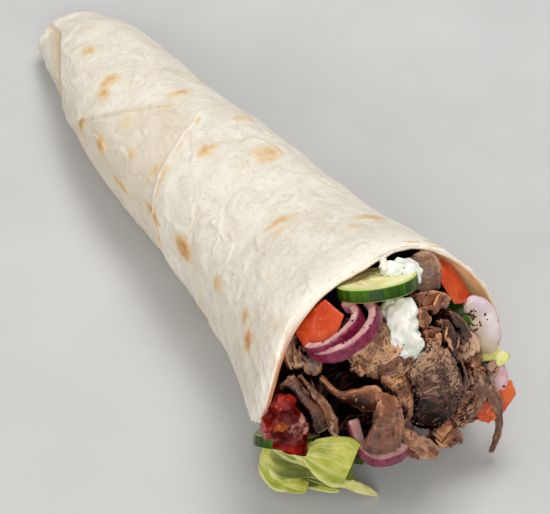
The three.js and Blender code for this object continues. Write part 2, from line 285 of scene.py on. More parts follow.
def solid(rings, masks):
    """The points, faces and masks of a closed solid through rings of points."""
    rows, columns = rings.shape[:2]

    def with_ends(values):
        flat = values.reshape(rows * columns, -1)
        ends = [values[0].reshape(columns, -1).mean(0), values[-1].reshape(columns, -1).mean(0)]
        return np.concatenate([flat, ends])

    points = with_ends(rings)
    faces = ring_faces(rows, columns)
    around = np.roll(rings, -1, 1) - rings
    along = np.diff(rings, axis=0, append=rings[-1:])
    inside_out = (np.cross(around, along) * (rings - points.mean(0))).sum() < 0
    if inside_out:
        faces = [face[::-1] for face in faces]
    spread = {mask: np.broadcast_to(values, (rows, columns)) for mask, values in masks.items()}
    return points, faces, {mask: with_ends(values).ravel() for mask, values in spread.items()}


def join(name, solids):
    """One object of several solids that have the same masks."""
    faces, start = [], 0
    for points, own_faces, _ in solids:
        faces += [[start + corner for corner in face] for face in own_faces]
        start += len(points)
    masks = {mask: np.concatenate([part[2][mask] for part in solids]) for mask in solids[0][2]}
    return make(name, np.concatenate([part[0] for part in solids]), faces, masks)


def middle(node):
    """The middle of a CAD node's box, in millimetres."""
    low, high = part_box(node)
    return np.array((low + high) / 2) / MM


def placed(node, route):
    """Points given from the middle of a CAD node's box, in the model's frame."""
    return np.add(route, middle(node))


def finish_piece(thing, material, node=None):
    """A finished object takes its material and stands for its CAD node."""
    thing.data.materials.append(material)
    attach(thing, "root")
    if node:
        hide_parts(node)
    return thing


# ---------------------------------------------------------------- materials

def colour(red, green, blue):
    """A colour given as it looks on a screen, from 0 to 255."""
    shown = np.array([red, green, blue]) / 255
    return (*np.where(shown < 0.04045, shown / 12.92, ((shown + 0.055) / 1.055) ** 2.4), 1)


class Value:
    """What one of a material's nodes gives. Numbers can be added, subtracted and multiplied."""

    def __init__(self, shader, socket):
        self.shader, self.socket = shader, socket

    def __add__(self, other):
        return self.shader.math("ADD", self, other)

    def __sub__(self, other):
        return self.shader.math("SUBTRACT", self, other)

    def __mul__(self, other):
        return self.shader.math("MULTIPLY", self, other)

    def __abs__(self):
        return self.shader.math("ABSOLUTE", self, 0)

    def rise(self, low, high):
        """0 at low, 1 at high and a smooth rise between them."""
        inputs = {"Value": self, "From Min": low, "From Max": high}
        return self.shader.value("ShaderNodeMapRange", inputs, interpolation_type="SMOOTHSTEP")


class Shader:
    """A material whose nodes are made by short calls. Plain colours are given as they look on a screen."""

    def __init__(self, name, **settings):
        self.material = bpy.data.materials.new(name)
        self.material.use_nodes = True
        self.tree = self.material.node_tree
        self.surface = self.tree.nodes["Principled BSDF"]
        self.place = self.value("ShaderNodeTexCoord", output="Object")
        self.set(**settings)

    def set(self, **settings):
        """Sets sockets of the surface, whose names have _ for each space."""
        for socket, value in settings.items():
            self.put(self.surface.inputs[socket.replace("_", " ")], value)

    def put(self, socket, value):
        if isinstance(value, Value):
            self.tree.links.new(value.socket, socket)
        else:
            socket.default_value = value

    def value(self, kind, inputs=(), output=0, **settings):
        """What a new node of that kind gives."""
        made = self.tree.nodes.new(kind)
        for key, value in settings.items():
            setattr(made, key, value)
        for key, value in dict(inputs).items():
            self.put(made.inputs[key], value)
        return Value(self, made.outputs[output])

    def mask(self, name):
        return self.value("ShaderNodeAttribute", output="Fac", attribute_name=name)

    def noise(self, size, detail=3, roughness=0.55, distortion=0.0, place=None):
        """Noise from 0 to 1 with features about size millimetres across, or 1 / size in a place given."""
        inputs = {"Vector": place or self.place, "Scale": size if place else 1 / (size * MM)}
        inputs |= {"Detail": detail, "Roughness": roughness, "Distortion": distortion}
        return self.value("ShaderNodeTexNoise", inputs)

    def math(self, operation, a, b):
        return self.value("ShaderNodeMath", {0: a, 1: b}, operation=operation)

    def over(self, base, *layers):
        """A colour with more laid over it in turn, each given as its share and its colour."""
        for share, paint in layers:
            colours = [c if isinstance(c, Value) else colour(*c) for c in (base, paint)]
            inputs = {"Factor": share, 6: colours[0], 7: colours[1]}
            base = self.value("ShaderNodeMix", inputs, output=2, data_type="RGBA")
        return base

    def finish(self, base, height=None, depth=0.0):
        """The material, with bumps of the given depth in millimetres."""
        self.set(Base_Color=base)
        if height:
            inputs = {"Height": height, "Distance": depth * MM, "Strength": 1.0}
            self.set(Normal=self.value("ShaderNodeBump", inputs))
        return self.material


# ---------------------------------------------------------------- the bread

BREAD_WALL = 3.2  # the two turns of lavash together
RIM_WALL = 1.7  # the single turn near the mouth's free edge
RIM_EDGE = 1.0  # the free edge itself
LAYER = 1.4  # step down from the outer turn to the one below it
SINK = 2.5  # how far the underside is pressed flat
ROUNDNESS = 2.15  # power of the roll's cross section, where 2 is an ellipse
END, END_CAP = 140, 9  # where the roll's side ends along Y, and how far its rounded cap goes on
CAVITY_END = 134  # where the hollow ends along Y
COLUMNS = 292  # points round the roll
HIDDEN_TRIES = 46  # spots tried on the far sides

# The roll's outer surface: distance along Y, centre in X, half width, height.
ROLL = [
    [-110, -2, 46.5, 90], [-90, 2.5, 44, 85], [-70, 5, 40.5, 77], [-45, 5.5, 35.5, 67], [-15, 4, 32, 59],
    [20, 1, 30, 54], [55, -3, 27.5, 47], [90, -3.5, 24.5, 39], [120, -3, 20.5, 31], [140, -2, 16, 22],
]
# The mouth's free edge: angle round the roll, distance along Y.
RIM = [
    [0, -101], [25, -95], [50, -83], [75, -80], [95, -85], [120, -89], [135, -93], [150, -101], [166, -104],
    [182, -93], [204, -74], [240, -72], [270, -76], [310, -86], [340, -98], [360, -101],
]
# Where the outer turn parts: angle, front edge, back edge. Past both ends the edges run on unseen.
PARTING = [
    [-98, -22, 100], [0, 24, 64], [60, 43, 48], [84, 36.5, 46], [96, 30, 49], [123, 22, 58], [156, 15, 72],
    [190, 3, 86], [225, -12, 95], [262, -22, 100],
]
# How far the outer turn stops short of the inner one at the mouth: angle, distance.
LAP = [
    [0, 1.5], [60, 0.8], [92, 1], [108, 2], [124, 4.6], [140, 3.4], [158, 1.2], [200, 1], [280, 3],
    [360, 1.5],
]
# The fold over the closed end: angle, distance along Y.
FOLD = [
    [118, 130], [123, 125.5], [128, 122], [133, 118], [138, 114.5], [143, 112], [153, 107], [168, 101],
    [215, 97], [240, 98],
]
# Toasted spots: angle, distance along Y, half length along Y, half width round the roll, strength.
SPOTS = [
    [66, -77, 1.2, 5, 0.6], [52, -80, 1.4, 4, 0.5], [110, 102, 3.2, 3, 0.75], [113, 77, 3.4, 4.6, 0.85],
    [124, 73, 4.4, 3.2, 0.75], [80, 52, 2.2, 5, 0.8], [133, 103, 2.5, 4, 0.25], [164, 74, 2.4, 5.5, 0.9],
    [158, 56, 4.5, 3, 0.95], [128, 52, 2.6, 4, 0.4], [143, 38, 2.4, 2.6, 0.6], [138, 23, 2.4, 6.5, 0.55],
    [173, 37, 9, 1.6, 0.9], [166, 14, 8, 1.7, 1], [183, 8, 3, 4, 0.8], [103, 13, 3, 4.4, 0.8],
    [63, 26, 2.6, 5.5, 0.55], [74, 1, 4.8, 6.4, 0.7], [79, -3, 2.4, 5.2, 0.65], [163, -11, 6.5, 3.8, 1.2],
    [105, -38, 2.2, 6, 0.75], [108, -43, 2, 4, 0.5], [158, -37, 4, 2.8, 0.8], [153, -63, 4, 3, 0.9],
    [158, -72, 5, 3.8, 1.1], [63, -52, 2.8, 6.5, 0.8], [80, -58, 2.4, 4, 0.5], [45, -74, 2.4, 8, 0.7],
    [91, -52, 2, 4, 0.2], [128, -59, 2, 3, 0.3],
]
# Long wrinkles where the bread puffed up: points of each, as angle and distance along Y.
WRINKLES = [
    [(80, -52), (86, -55), (93, -60), (98, -63), (103, -66), (103, -70), (101, -75), (98, -77)],
    [(96, 27), (105, 21), (110, 15), (115, 12)],
    [(88, 4), (93, -3), (95, -8), (95, -13)],
    [(129, -19), (133, -22), (135, -27)],
    [(133, -17), (132, -21), (138, -25), (146, -26)],
    [(93, 80), (93, 73), (105, 66)],
    [(113, -73), (115, -78), (115, -84)],
    [(120, -38), (124, -44), (122, -49)],
    [(60, -20), (52, -26), (50, -34)],
    [(-20, 20), (-28, 8), (-24, -6)],
    [(200, -30), (208, -40), (204, -52)],
]


def section(y):
    """The roll's centre in X, half width and height at y."""
    along = np.clip(y, ROLL[0][0], ROLL[-1][0])
    return [read(ROLL, along, k) for k in (1, 2, 3)]


def skin(y, degrees, lift=0.0, scale=1.0):
    """Points of the roll's skin, as in the CAD model."""
    centre, half, height = section(y)
    angle = np.radians(degrees)
    x = centre + curved(np.cos(angle), 2 / ROUNDNESS) * (half + lift) * scale
    z = (height - SINK) / 2 + curved(np.sin(angle), 2 / ROUNDNESS) * ((height + SINK) / 2 + lift) * scale
    return stacked(x, y, np.maximum(z, -np.minimum(lift, 0)))


def in_parting(degrees):
    """Angles brought into the range of the parting table."""
    start = PARTING[0][0]
    return (degrees - start) % 360 + start


def hidden_spots():
    """Toasted spots scattered over the sides that the spots above leave bare."""
    spots = []
    for _ in range(HIDDEN_TRIES):
        angle, y = RNG.uniform(-160, 66), RNG.uniform(-85, 130)
        long, wide = RNG.uniform(1.6, 5), RNG.uniform(1.8, 6)
        if angle < 40 or y > 60:
            spots.append([angle, y, long, wide, RNG.uniform(0.3, 1)])
    return spots


def near_wrinkles(points, width):
    """1 on the long wrinkles, falling to 0 within about width of them."""
    nearest = np.full(points.shape[:-1], 99.0)
    points = points + 0.5 * drift(points, 3, 46)
    for wrinkle in WRINKLES:
        corners = np.array([skin(y, angle) for angle, y in wrinkle])
        for start, along in zip(corners, np.diff(corners, axis=0)):
            share = np.clip((points - start) @ along / (along**2).sum(), 0, 1)
            nearest = np.minimum(nearest, np.linalg.norm(points - push(start, along, share), axis=-1))
    return peak(nearest, width)


def toast(points):
    """How brown the bread is at each point, 1 in the middle of a strong spot."""
    warped = points + 0.8 * drift(points, 3.8, 21, 3, 3)
    field = np.zeros(points.shape[:-1])
    for angle, spot_y, long, wide, strength in SPOTS + hidden_spots():
        away = warped - skin(spot_y, angle)
        along = away[..., 1]
        around = np.sqrt(np.maximum((away**2).sum(-1) - along**2, 0))
        reach = np.hypot(along / long, around / wide)
        field = np.maximum(field, strength * (1 - smooth(0.05, 1.6, reach)))
    return field * (1 + 0.35 * noise(points, 2.2, 29))


def by_mouth(flat):
    """1 near the mouth and 0 behind it."""
    return smooth(-56, -88, flat[..., 1])


def bread_relief(flat, turned):
    """How far blisters and swellings lift the bread, and how it is creased and streaked."""
    relief = 0.55 * noise(flat, 38, 1) + 0.3 * noise(flat, 17, 2) + 0.12 * layered(flat, 2.6, 10, 2)
    distance, kind = cells(flat + 2.5 * drift(flat, 9, 3), 15, 6)
    relief += 0.34 * (1 - smooth(0.3, 0.52, distance)) * (kind > 0.45)
    relief += 0.2 * ridged(flat * [1, 0.55, 1], 8, 7) * smooth(0.1, 0.6, noise(flat, 30, 8) + 0.35)
    streak = 0.42 * (ridged(flat * [1, 0.14, 1], 3.4, 9) - 0.4) * by_mouth(flat) * smooth(112, 150, turned)
    ring, _ = cells(flat + 3 * drift(flat, 12, 14), 19, 17)
    outline = peak(ring - 0.43, 0.04) - 0.6 * peak(ring - 0.52, 0.04)
    outline *= smooth(-0.05, 0.3, noise(flat, 16, 18))
    folds = peak(layered(flat * [1, 0.7, 1], 7, 19, 2), 0.09) * smooth(0.1, 0.4, noise(flat, 15, 20))
    return relief, 0.4 * outline + 0.14 * folds + 0.65 * near_wrinkles(flat, 0.7), streak


def fold_masks(y, turned):
    """How far the closed end's fold is pressed in, and the painted shade beside its fold line, darkest at the
    line and fading further in.
    """
    behind = y - read(FOLD, np.clip(turned, FOLD[0][0], FOLD[-1][0]))
    inward = behind / np.interp(turned, [120, 160], [34, 20])
    tan = smooth(-0.5, 0.6, behind) * (1 - 0.45 * smooth(0.1, 0.5, inward) - 0.55 * smooth(0.5, 1, inward))
    pressed = smooth(-1, 1.2, behind) * within(turned, 112, 124, 200, 236)
    return pressed, tan * within(turned, 112, 122, 185, 205)


def bread_outside(y, degrees, front, back):
    """How far the outside stands off the plain roll, and its masks. front and back are the parting edges."""
    flat = skin(y, degrees)
    brown = toast(flat)
    turned = in_parting(degrees)
    seen, line = within(turned, 84, 92, 256, 262), within(turned, 82, 90, 256, 262)
    band = within(y, front - 0.1, front + 0.35, back - 1.2, back + 0.4) * seen
    step = band * line * (1 - 0.75 * np.clip((y - front) / (back - front), 0, 1) * smooth(110, 150, turned))
    near_front = peak(front - y, 1.3) * (y <= front + 0.1) * line
    in_fold, tan = fold_masks(y, turned)
    relief, crease, streak = bread_relief(flat, turned)
    lip_wave = peak(y - read(RIM, degrees), 7) * (0.55 * noise(flat, 9, 43) + 0.3 * noise(flat, 4, 44))
    lift = relief + crease + streak + lip_wave + 0.3 * brown - LAYER * step + 0.3 * near_front - 1.5 * in_fold
    lift -= 1.3 * peak(y - 102, 22) * within(turned, 125, 150, 205, 225)
    patchy = smooth(-0.2, 0.4, noise(flat * [1, 0.25, 1], 6, 49))
    # The bread's own tan, in long streaks on the left near the mouth, is added to the fold's painted shade.
    tan += 0.5 * by_mouth(flat) * within(turned, 118, 148, 190, 215) * patchy
    edge_brown = peak(front - 2.2 - y, 1.3) * line * (0.3 + smooth(-0.3, 0.3, noise(flat, 5, 12)))
    edge_brown += 0.7 * peak(y - back - 0.6, 0.9) * seen * smooth(-0.4, 0.2, noise(flat, 7, 13))
    masks = {
        "toast": np.clip(brown + 0.42 * edge_brown, 0, 1),
        # Painted shade over the turn below the parting edges and just under the back edge.
        "shade": np.clip(0.4 * band + 0.4 * peak(y - back - 0.3, 1.2) * seen, 0, 1),
        "tan": np.clip(tan, 0, 1),
        # Painted shade in the grooves beside the raised rings and in the hollows of the streaks.
        "crease": np.clip(-1.6 * crease - 1.2 * streak, 0, 1),
        # A painted highlight along the raised front parting edge.
        "pale": peak(front - 0.4 - y, 0.55) * (y < front + 0.3) * line,
    }
    return lift, masks


def bread_rows(around, front, back):
    """Rows of points from deep inside, round the free edge, to the closed end: distance along Y, lift, how
    much of the outside's relief they get, scale, and whether they are inside."""
    rim = read(RIM, around)
    plain_edge = skin(rim, around)
    rim = rim + 1.2 * noise(plain_edge, 12, 31) + 0.5 * noise(plain_edge, 5, 32)
    lap = read(LAP, around)
    rows = []

    def row(y, lift=0.0, outside=1.0, scale=1.0, inside=0.0):
        rows.append(stacked(y, lift, outside, scale, inside + 0 * around))

    def rows_between(start, end, count):
        for t in np.linspace(0, 1, count)[1:]:
            row(start + (end - start) * t)

    for t in np.linspace(1, 0, 26) ** 2.2:  # the inner wall, from its far end to the mouth
        wall = BREAD_WALL + (RIM_EDGE + 0.35 - BREAD_WALL) * (1 - smooth(0, 0.07, t))
        y = rim + (CAVITY_END - rim) * t
        row(y, -wall + 0.18 * layered(skin(y, around), 9, 33) * smooth(0, 0.01, t), 0, inside=1)
    for turn in np.radians([35, 70, 105, 140]):  # the free edge
        lift = -0.5 * RIM_EDGE * (1 + math.cos(turn)) - 0.35
        row(rim - 0.5 * RIM_EDGE * math.sin(turn), lift, 0, inside=0.4)
    for t in np.linspace(0.1, 1, 6):  # the inner turn, which shows in front of the outer one
        row(rim + lap * t, -0.75, 0.35)
    for t in (0.05, 0.25, 0.6, 1):  # the outer turn's own edge
        row(rim + lap + 0.7 * t, -0.75 + 0.75 * math.sqrt(1 - (1 - t) ** 2))
    rows_between(rim + lap + 0.7, front, 142)  # the outer turn, back to its parting edge
    rows_between(front, front + 0.36, 4)  # the step down at that edge
    rows_between(front + 0.36, back, 46)  # the turn below
    rows_between(back, END, 78)  # the outer turn again
    for turn in np.radians([7, 15, 24, 33, 42, 51, 60, 68, 75, 81, 86]):  # the closed end
        row(END + END_CAP * math.sin(turn), scale=math.cos(turn))
    return np.moveaxis(np.array(rows), -1, 0)


def lavash():
    share = np.arange(COLUMNS) / COLUMNS
    around = np.interp(share, [0, 0.76, 1], [-10, 205, 350]) % 360  # closer together over the top
    front, back = (read(PARTING, in_parting(around), k) for k in (1, 2))
    y, lift, outside, scale, inside = bread_rows(around, front, back)
    degrees = np.broadcast_to(around, y.shape)
    extra, masks = bread_outside(y, degrees, front, back)
    turned = in_parting(degrees)
    flat = skin(y, degrees)
    behind = y - read(RIM, degrees)
    whole = outside > 0.9
    pleat = 1.1 * np.cos(np.radians(degrees) * 5 + 2 * noise(flat, 20, 40)) + 0.5 * noise(flat, 5, 41)
    lift = lift + extra * outside + 1.2 * whole * (1 - smooth(0, 0.95, scale)) * pleat
    masks["toast"] = masks["toast"] * whole + 0.2 * inside * smooth(0.1, 0.7, noise(flat, 9, 42) + 0.2)
    masks["stain"] = peak(behind, 1.8) * within(turned, 118, 145, 160, 174) * (0.3 + 0.7 * (outside < 0.9))
    # Painted light: the bread is made lighter for some millimetres behind the mouth's free edge.
    masks["lip_light"] = peak(behind - 3, 8) * (outside > 0.3)
    masks["near"] = smooth(10, -70, y) * whole
    masks["inside"] = inside
    # Where the single turn is thin near the mouth, for a painted glow on its inside.
    masks["thin"] = inside * within(degrees, 2, 14, 62, 85) * (1 - smooth(8, 30, behind))
    rings = skin(y, degrees, lift, scale)
    slant = smooth(118, 149, y)  # the folded end leans down and to the left
    rings[..., 0] -= 1.8 * slant
    rings[..., 2] *= 1 - 0.1 * slant
    rings[..., 2] = np.maximum(rings[..., 2], np.where(outside > 0.3, 0.0, 0.4))
    return finish_piece(make("lavash_roll", *solid(rings, masks)), bread_material(), "lavash")


def bread_material():
    look = Shader("lavash", Roughness=0.8, Specular_IOR_Level=0.22, Sheen_Weight=0.08)
    # Fine dents, pressed in as bumps and painted darker as shade.
    dents = abs(look.noise(4.5, 2, 0.5) - 0.5).rise(0.022, 0) * look.noise(3.2, 1).rise(0.5, 0.6)
    uneven = look.mask("toast") + (look.noise(1.8, 4, 0.6) - 0.5) * 0.5
    inner = look.over((228, 198, 148), (look.noise(3.4, 4).rise(0.42, 0.62), (208, 160, 102)))
    base = look.over(
        (221, 213, 195),
        (look.noise(9, 4, 0.6).rise(0.35, 0.65), (234, 228, 214)),
        (look.noise(1.3, 4, 0.65).rise(0.42, 0.66) * 0.4, (241, 236, 224)),
        (look.noise(16).rise(0.55, 0.7) * 0.3, (214, 198, 178)),
        (look.noise(2.2, 2).rise(0.66, 0.74) * 0.3, (198, 170, 128)),
        # Painted shade in the grooves and streak hollows.
        (look.mask("crease") * 0.4, (204, 182, 144)),
        # Painted light behind the mouth's free edge.
        (look.mask("lip_light") * 0.9, (252, 246, 232)),
        # Painted shade in the dents.
        (dents * 0.55, (200, 184, 156)),
        (look.mask("shade") * 0.7, (198, 174, 138)),
        # Painted shade beside the closed end's fold, together with the bread's own tan streaks near the
        # mouth.
        (look.mask("tan") * 0.85, (212, 184, 142)),
        (look.mask("inside") * 0.9, inner),
        (uneven.rise(0.08, 0.5) * 0.75, (228, 198, 150)),
        (uneven.rise(0.4, 0.95) * 0.85, (208, 160, 100)),
        (uneven.rise(0.85, 1.25) * 0.85, (156, 102, 48)),
        # Painted highlight along the front parting edge.
        (look.mask("pale") * 0.8, (244, 238, 224)),
        (look.mask("stain") * 0.9, (192, 104, 48)),
    )
    height = look.noise(0.9, 5, 0.7) * 0.3
    for size, detail, width, where in ((17, 1, 0.03, 26), (8, 2, 0.05, 17)):  # thin wrinkles, here and there
        wrinkle = abs(look.noise(size, detail, 0.4) - 0.5).rise(width, 0)
        height += wrinkle * look.noise(where, 1).rise(0.45, 0.62) * 0.3
    pits = look.noise(1.7, 4, 0.65) * (look.mask("near") + 0.2)
    # A painted glow on the inside of the single turn at the mouth stands in for light coming through it.
    look.set(Emission_Color=colour(228, 184, 124), Emission_Strength=look.mask("thin") * 0.24)
    return look.finish(base, height - dents * 0.25 + pits * 1.2, 0.3)


# ---------------------------------------------------------------- shapes of the filling

TOWARDS_MOUTH = (-0.32, -0.61, 0.72)
ACROSS_MOUTH = np.array([0.885, -0.466, 0.0])
CLEAR = 0.3  # from the filling to the bread
FINE_STEP = 0.05


def tuck(points):
    """Pulls points that would be in the bread back inside the roll."""
    y = points[..., 1]
    centre, half, height = section(y)
    level = (height - SINK) / 2
    x, z = points[..., 0] - centre, points[..., 2] - level
    behind = y - read(RIM, np.degrees(np.arctan2(z / height, 0.5 * x / half)) % 360)
    wall = RIM_WALL + (BREAD_WALL - RIM_WALL) * smooth(0, 12, behind) + CLEAR
    reach = np.abs(x / (half - wall)) ** ROUNDNESS + np.abs(z / ((height + SINK) / 2 - wall)) ** ROUNDNESS
    shrink = np.where((reach > 1) & (behind > -1), reach ** (-1 / ROUNDNESS), 1)
    return stacked(centre + x * shrink, y, np.maximum(level + z * shrink, CLEAR))


def path(route, step):
    """Points every step along a smooth line through the route, and their distances along it."""
    lengths = np.concatenate([[0], np.cumsum(np.linalg.norm(np.diff(route, axis=0), axis=1))])
    at = np.linspace(0, lengths[-1], max(8, int(lengths[-1] / step)))
    table = np.column_stack([lengths, route])
    return stacked(*(read(table, at, k) for k in (1, 2, 3))), at


def evenly(points, count):
    """count of the points, evenly chosen from the first to the last."""
    return points[np.linspace(0, len(points) - 1, count).astype(int)]


def edge_line(node, route):
    """A smooth line of close points through a route given from the middle of a CAD node's box."""
    return path(placed(node, route), FINE_STEP)[0]


def strip(route, widths, thickness, face, seed, bend=0.0, ragged=0.14, wave=0.5, offset=0.0, step=0.42,
          blunt=0.5, pitch=0.5):
    """Rings of a soft strip along a route, with uneven edges: the rings, each point's place along, across and
    through the strip, and how near the edge it is. offset moves the strip sideways, in half widths."""
    line, at = path(route, step)
    tangent = unit(np.gradient(line, axis=0))
    side = unit(np.cross(tangent, unit(face)))
    out = np.cross(side, tangent)[:, None]
    steps = np.linspace(0, 1, len(widths))
    half = read(np.column_stack([steps, widths]), at / at[-1])[:, None] / 2
    columns = int(np.clip((4 * half.max() + 2 * thickness) / pitch, 16, 200))
    angle = round_circle(columns)
    along, across = np.broadcast_arrays(at[:, None], curved(np.cos(angle), blunt))
    through = curved(np.sin(angle), 0.75)
    from_end = np.minimum(at, at[-1] - at)[:, None]
    rounded = round_off(from_end / (0.55 * half), 0.02)
    place = stacked(along, across * 4, seed * 3.1)
    full = half * rounded * (1 + ragged * noise(place, 3.2) + 0.6 * ragged * noise(place, 1.3, 1))
    deep = thickness / 2 * rounded**0.7 * (1 + 0.22 * noise(place, 4.5, 2))
    raised = through * deep + bend * full * across**2 + wave * noise(place, 5.5, 3)
    slide = 1.2 * noise(place * [0.2, 1, 1], 1.6, 4) * (1 - np.clip(from_end / 3, 0, 1))
    aside = across * full + offset * half
    rings = push(push(push(line[:, None], side[:, None], aside), out, raised), tangent[:, None], slide)
    edge = np.maximum(smooth(0.7, 0.98, np.abs(across)), 1 - smooth(0.4, 1.6, from_end))
    return rings, stacked(along, aside, through * deep), edge


def sheet_facing(sheet):
    """The way each point of an open sheet faces, towards the mouth."""
    out = unit(np.cross(np.gradient(sheet, axis=0), np.gradient(sheet, axis=1)))
    return out * np.sign((out * unit(TOWARDS_MOUTH)).sum())


def wrapped(front, back):
    """The front of a sheet and its back joined round both edges, as rings."""
    return np.concatenate([front, back[:, ::-1]], 1)


def ruled(node, routes, thickness, seed):
    """A thin slice stretched over several routes side by side. It gives the same as strip."""
    step, ragged, wave = 0.42, 0.5, 0.35
    lines = [edge_line(node, route) for route in routes]
    length = max(np.linalg.norm(np.diff(line, axis=0), axis=1).sum() for line in lines)
    width = max(np.linalg.norm(lines[0] - evenly(lines[-1], len(lines[0])), axis=1))
    rows, columns = int(length / step), max(8, int(width / step))
    v = np.linspace(0, 1, columns)
    table = np.column_stack([np.linspace(0, 1, len(routes)), np.eye(len(routes))])
    share = [read(table, v, k + 1) for k in range(len(routes))]
    sheet = np.einsum("kv,kuc->uvc", share, [evenly(line, rows) for line in lines])
    along, across = np.meshgrid(np.linspace(0, length, rows), v * width, indexing="ij")
    place = stacked(along, across, seed * 3.1)
    from_end, from_side = np.minimum(along, length - along), np.minimum(across, width - across)
    nearest = np.minimum(from_end, from_side)
    out = sheet_facing(sheet)
    tangent = unit(np.gradient(sheet, axis=0))
    slide = 1.6 * ragged * noise(place * [0.2, 1, 1], 1.7, 4) * (1 - np.clip(from_end / 3, 0, 1))
    slip = ragged * noise(place * [1, 0.2, 1], 2.4, 5) * (1 - np.clip(from_side / 3, 0, 1))
    sheet = push(push(sheet, tangent, slide), np.cross(out, tangent), slip)
    sheet = push(sheet, out, wave * noise(place, 5, 3))
    deep = thickness / 2 * round_off(nearest / (0.6 * thickness), 0.03) * (1 + 0.2 * noise(place, 4.5, 2))
    rings = wrapped(push(sheet, out, deep), push(sheet, out, -deep))
    edge = 1 - smooth(0.3, 1.4, nearest)
    return rings, wrapped(stacked(along, across, deep), stacked(along, across, -deep)), wrapped(edge, edge)


# ---------------------------------------------------------------- meat

def across_share(local):
    """How far across a strip each point lies, from 0 to 1."""
    aside = local[..., 1]
    return (aside - aside.min()) / np.ptp(aside)


def meat_solid(shape, seed, warm, dark, crumb=0.0, strength=1.0, lumps=1.0):
    """The solid of one shaving, with its fibres, lumps and crumbs, and its rings and the way they face. dark
    holds the painted shade at the start and the end, and what is added across."""
    rings, local, edge = shape
    along, v = local[..., 0], local[..., 1] + 0.6 * noise(local, 7, seed)
    fibres = stacked(along / 9, v, local[..., 2] / 1.5)
    fibre = ridged(fibres, 1.3, seed) + 0.45 * ridged(fibres, 0.75, seed + 1)
    lump = lumps * noise(local, 5.5, seed + 2)
    grains = 0.22 * layered(rings, 2.8, seed + 3, 2) + 0.5 * (ridged(rings, 1.15, seed + 4) - 0.45)
    grains += 0.45 * (ridged(rings, 0.75, seed + 5) - 0.45)
    patches = 0.24 * strength * layered(rings, 3.4, seed + 6, 2) * (1 - 0.6 * crumb)
    sliced = strength * (1 - 0.7 * crumb)
    facing = facing_of(rings)
    rings = tuck(push(rings, facing, 0.5 * lump + sliced * (0.24 * fibre - 0.16) + crumb * grains))
    first, last, added = (*dark, 0)[:3]
    shade = first + (last - first) * along / along.max() + added * across_share(local)
    masks = {
        # high: lighter on raised fibres, lumps and grains and darker in the hollows, painted light and shade
        # over the meat's own grain.
        "high": 0.45 + 0.36 * (fibre - 0.7) * sliced + 0.4 * lump + 1.1 * crumb * grains,
        "edge": edge,
        "warm": warm,
        # Painted shade along the piece, plus its own mottled patches. Its edges are painted lighter, as if
        # catching light.
        "dark": shade + patches - 0.3 * edge * (1 - crumb),
        "fibre": strength,
        "crumb": crumb,
        "u": along,
        "v": v + 10 * seed,
    }
    return solid(rings, masks), rings, facing


def draped(rings, facing, size, seed, towards=0.2, **shape):
    """A small shred lying over a piece that has these rings, more or less along them. size is its length,
    width and thickness."""
    length, width, thickness = size
    rows, columns = rings.shape[:2]
    good = np.argwhere(facing @ unit(TOWARDS_MOUTH) > towards)
    row, column = good[RNG.integers(len(good))]
    beside = rings[min(row + 1, rows - 1)] - rings[max(row - 1, 0)]
    pitch = np.linalg.norm(beside, axis=-1).mean() / 2 + 1e-6
    reach = length / pitch / 2 * RNG.choice([-1, 1])
    sideways = RNG.normal() * 0.12 * columns
    t = np.linspace(-1, 1, 6)
    i = np.clip(np.round(row + reach * t), 0, rows - 1).astype(int)
    j = np.round(column + sideways * t).astype(int) % columns
    route = push(rings[i, j], facing[i, j], 0.25 * thickness + RNG.uniform(0, 0.9) * t**2)
    route += 0.02 * np.arange(6)[:, None]
    widths = width * np.array([0.25, 0.85, 1, 0.35])
    bend = RNG.uniform(-0.3, 0.15)
    return strip(route, widths, thickness, facing[row, column], seed, bend, ragged=0.36, wave=0.35, **shape)


def petals_of(line, widths, thickness, warm, dark, seed, petals, texture, shape):
    """Slices side by side along one line, over one that holds them together and is painted darker as shade in
    the gaps.
    """
    face = unit(TOWARDS_MOUTH)
    under = strip(line - 0.15 * thickness * face, 0.9 * widths, 0.75 * thickness, face, seed, **shape)
    # The slice underneath is painted darker, as shade between the slices.
    made = [meat_solid(under, seed, warm - 0.2, np.add(dark, 0.35), *texture)]
    for k in range(petals):
        offset = ((k + 0.5) / petals - 0.5) * 1.75 * petals / 1.5
        trimmed = line + RNG.normal(size=3) * 0.35
        thick = thickness * RNG.uniform(0.8, 1.05)
        turned = face + RNG.normal(size=3) * 0.2
        narrow = widths * 1.5 / petals
        petal = strip(trimmed, narrow, thick, turned, seed + k, offset=offset, wave=0.7, **shape)
        made.append(meat_solid(petal, seed + k, warm + RNG.uniform(-0.3, 0.3), dark, *texture))
    return made


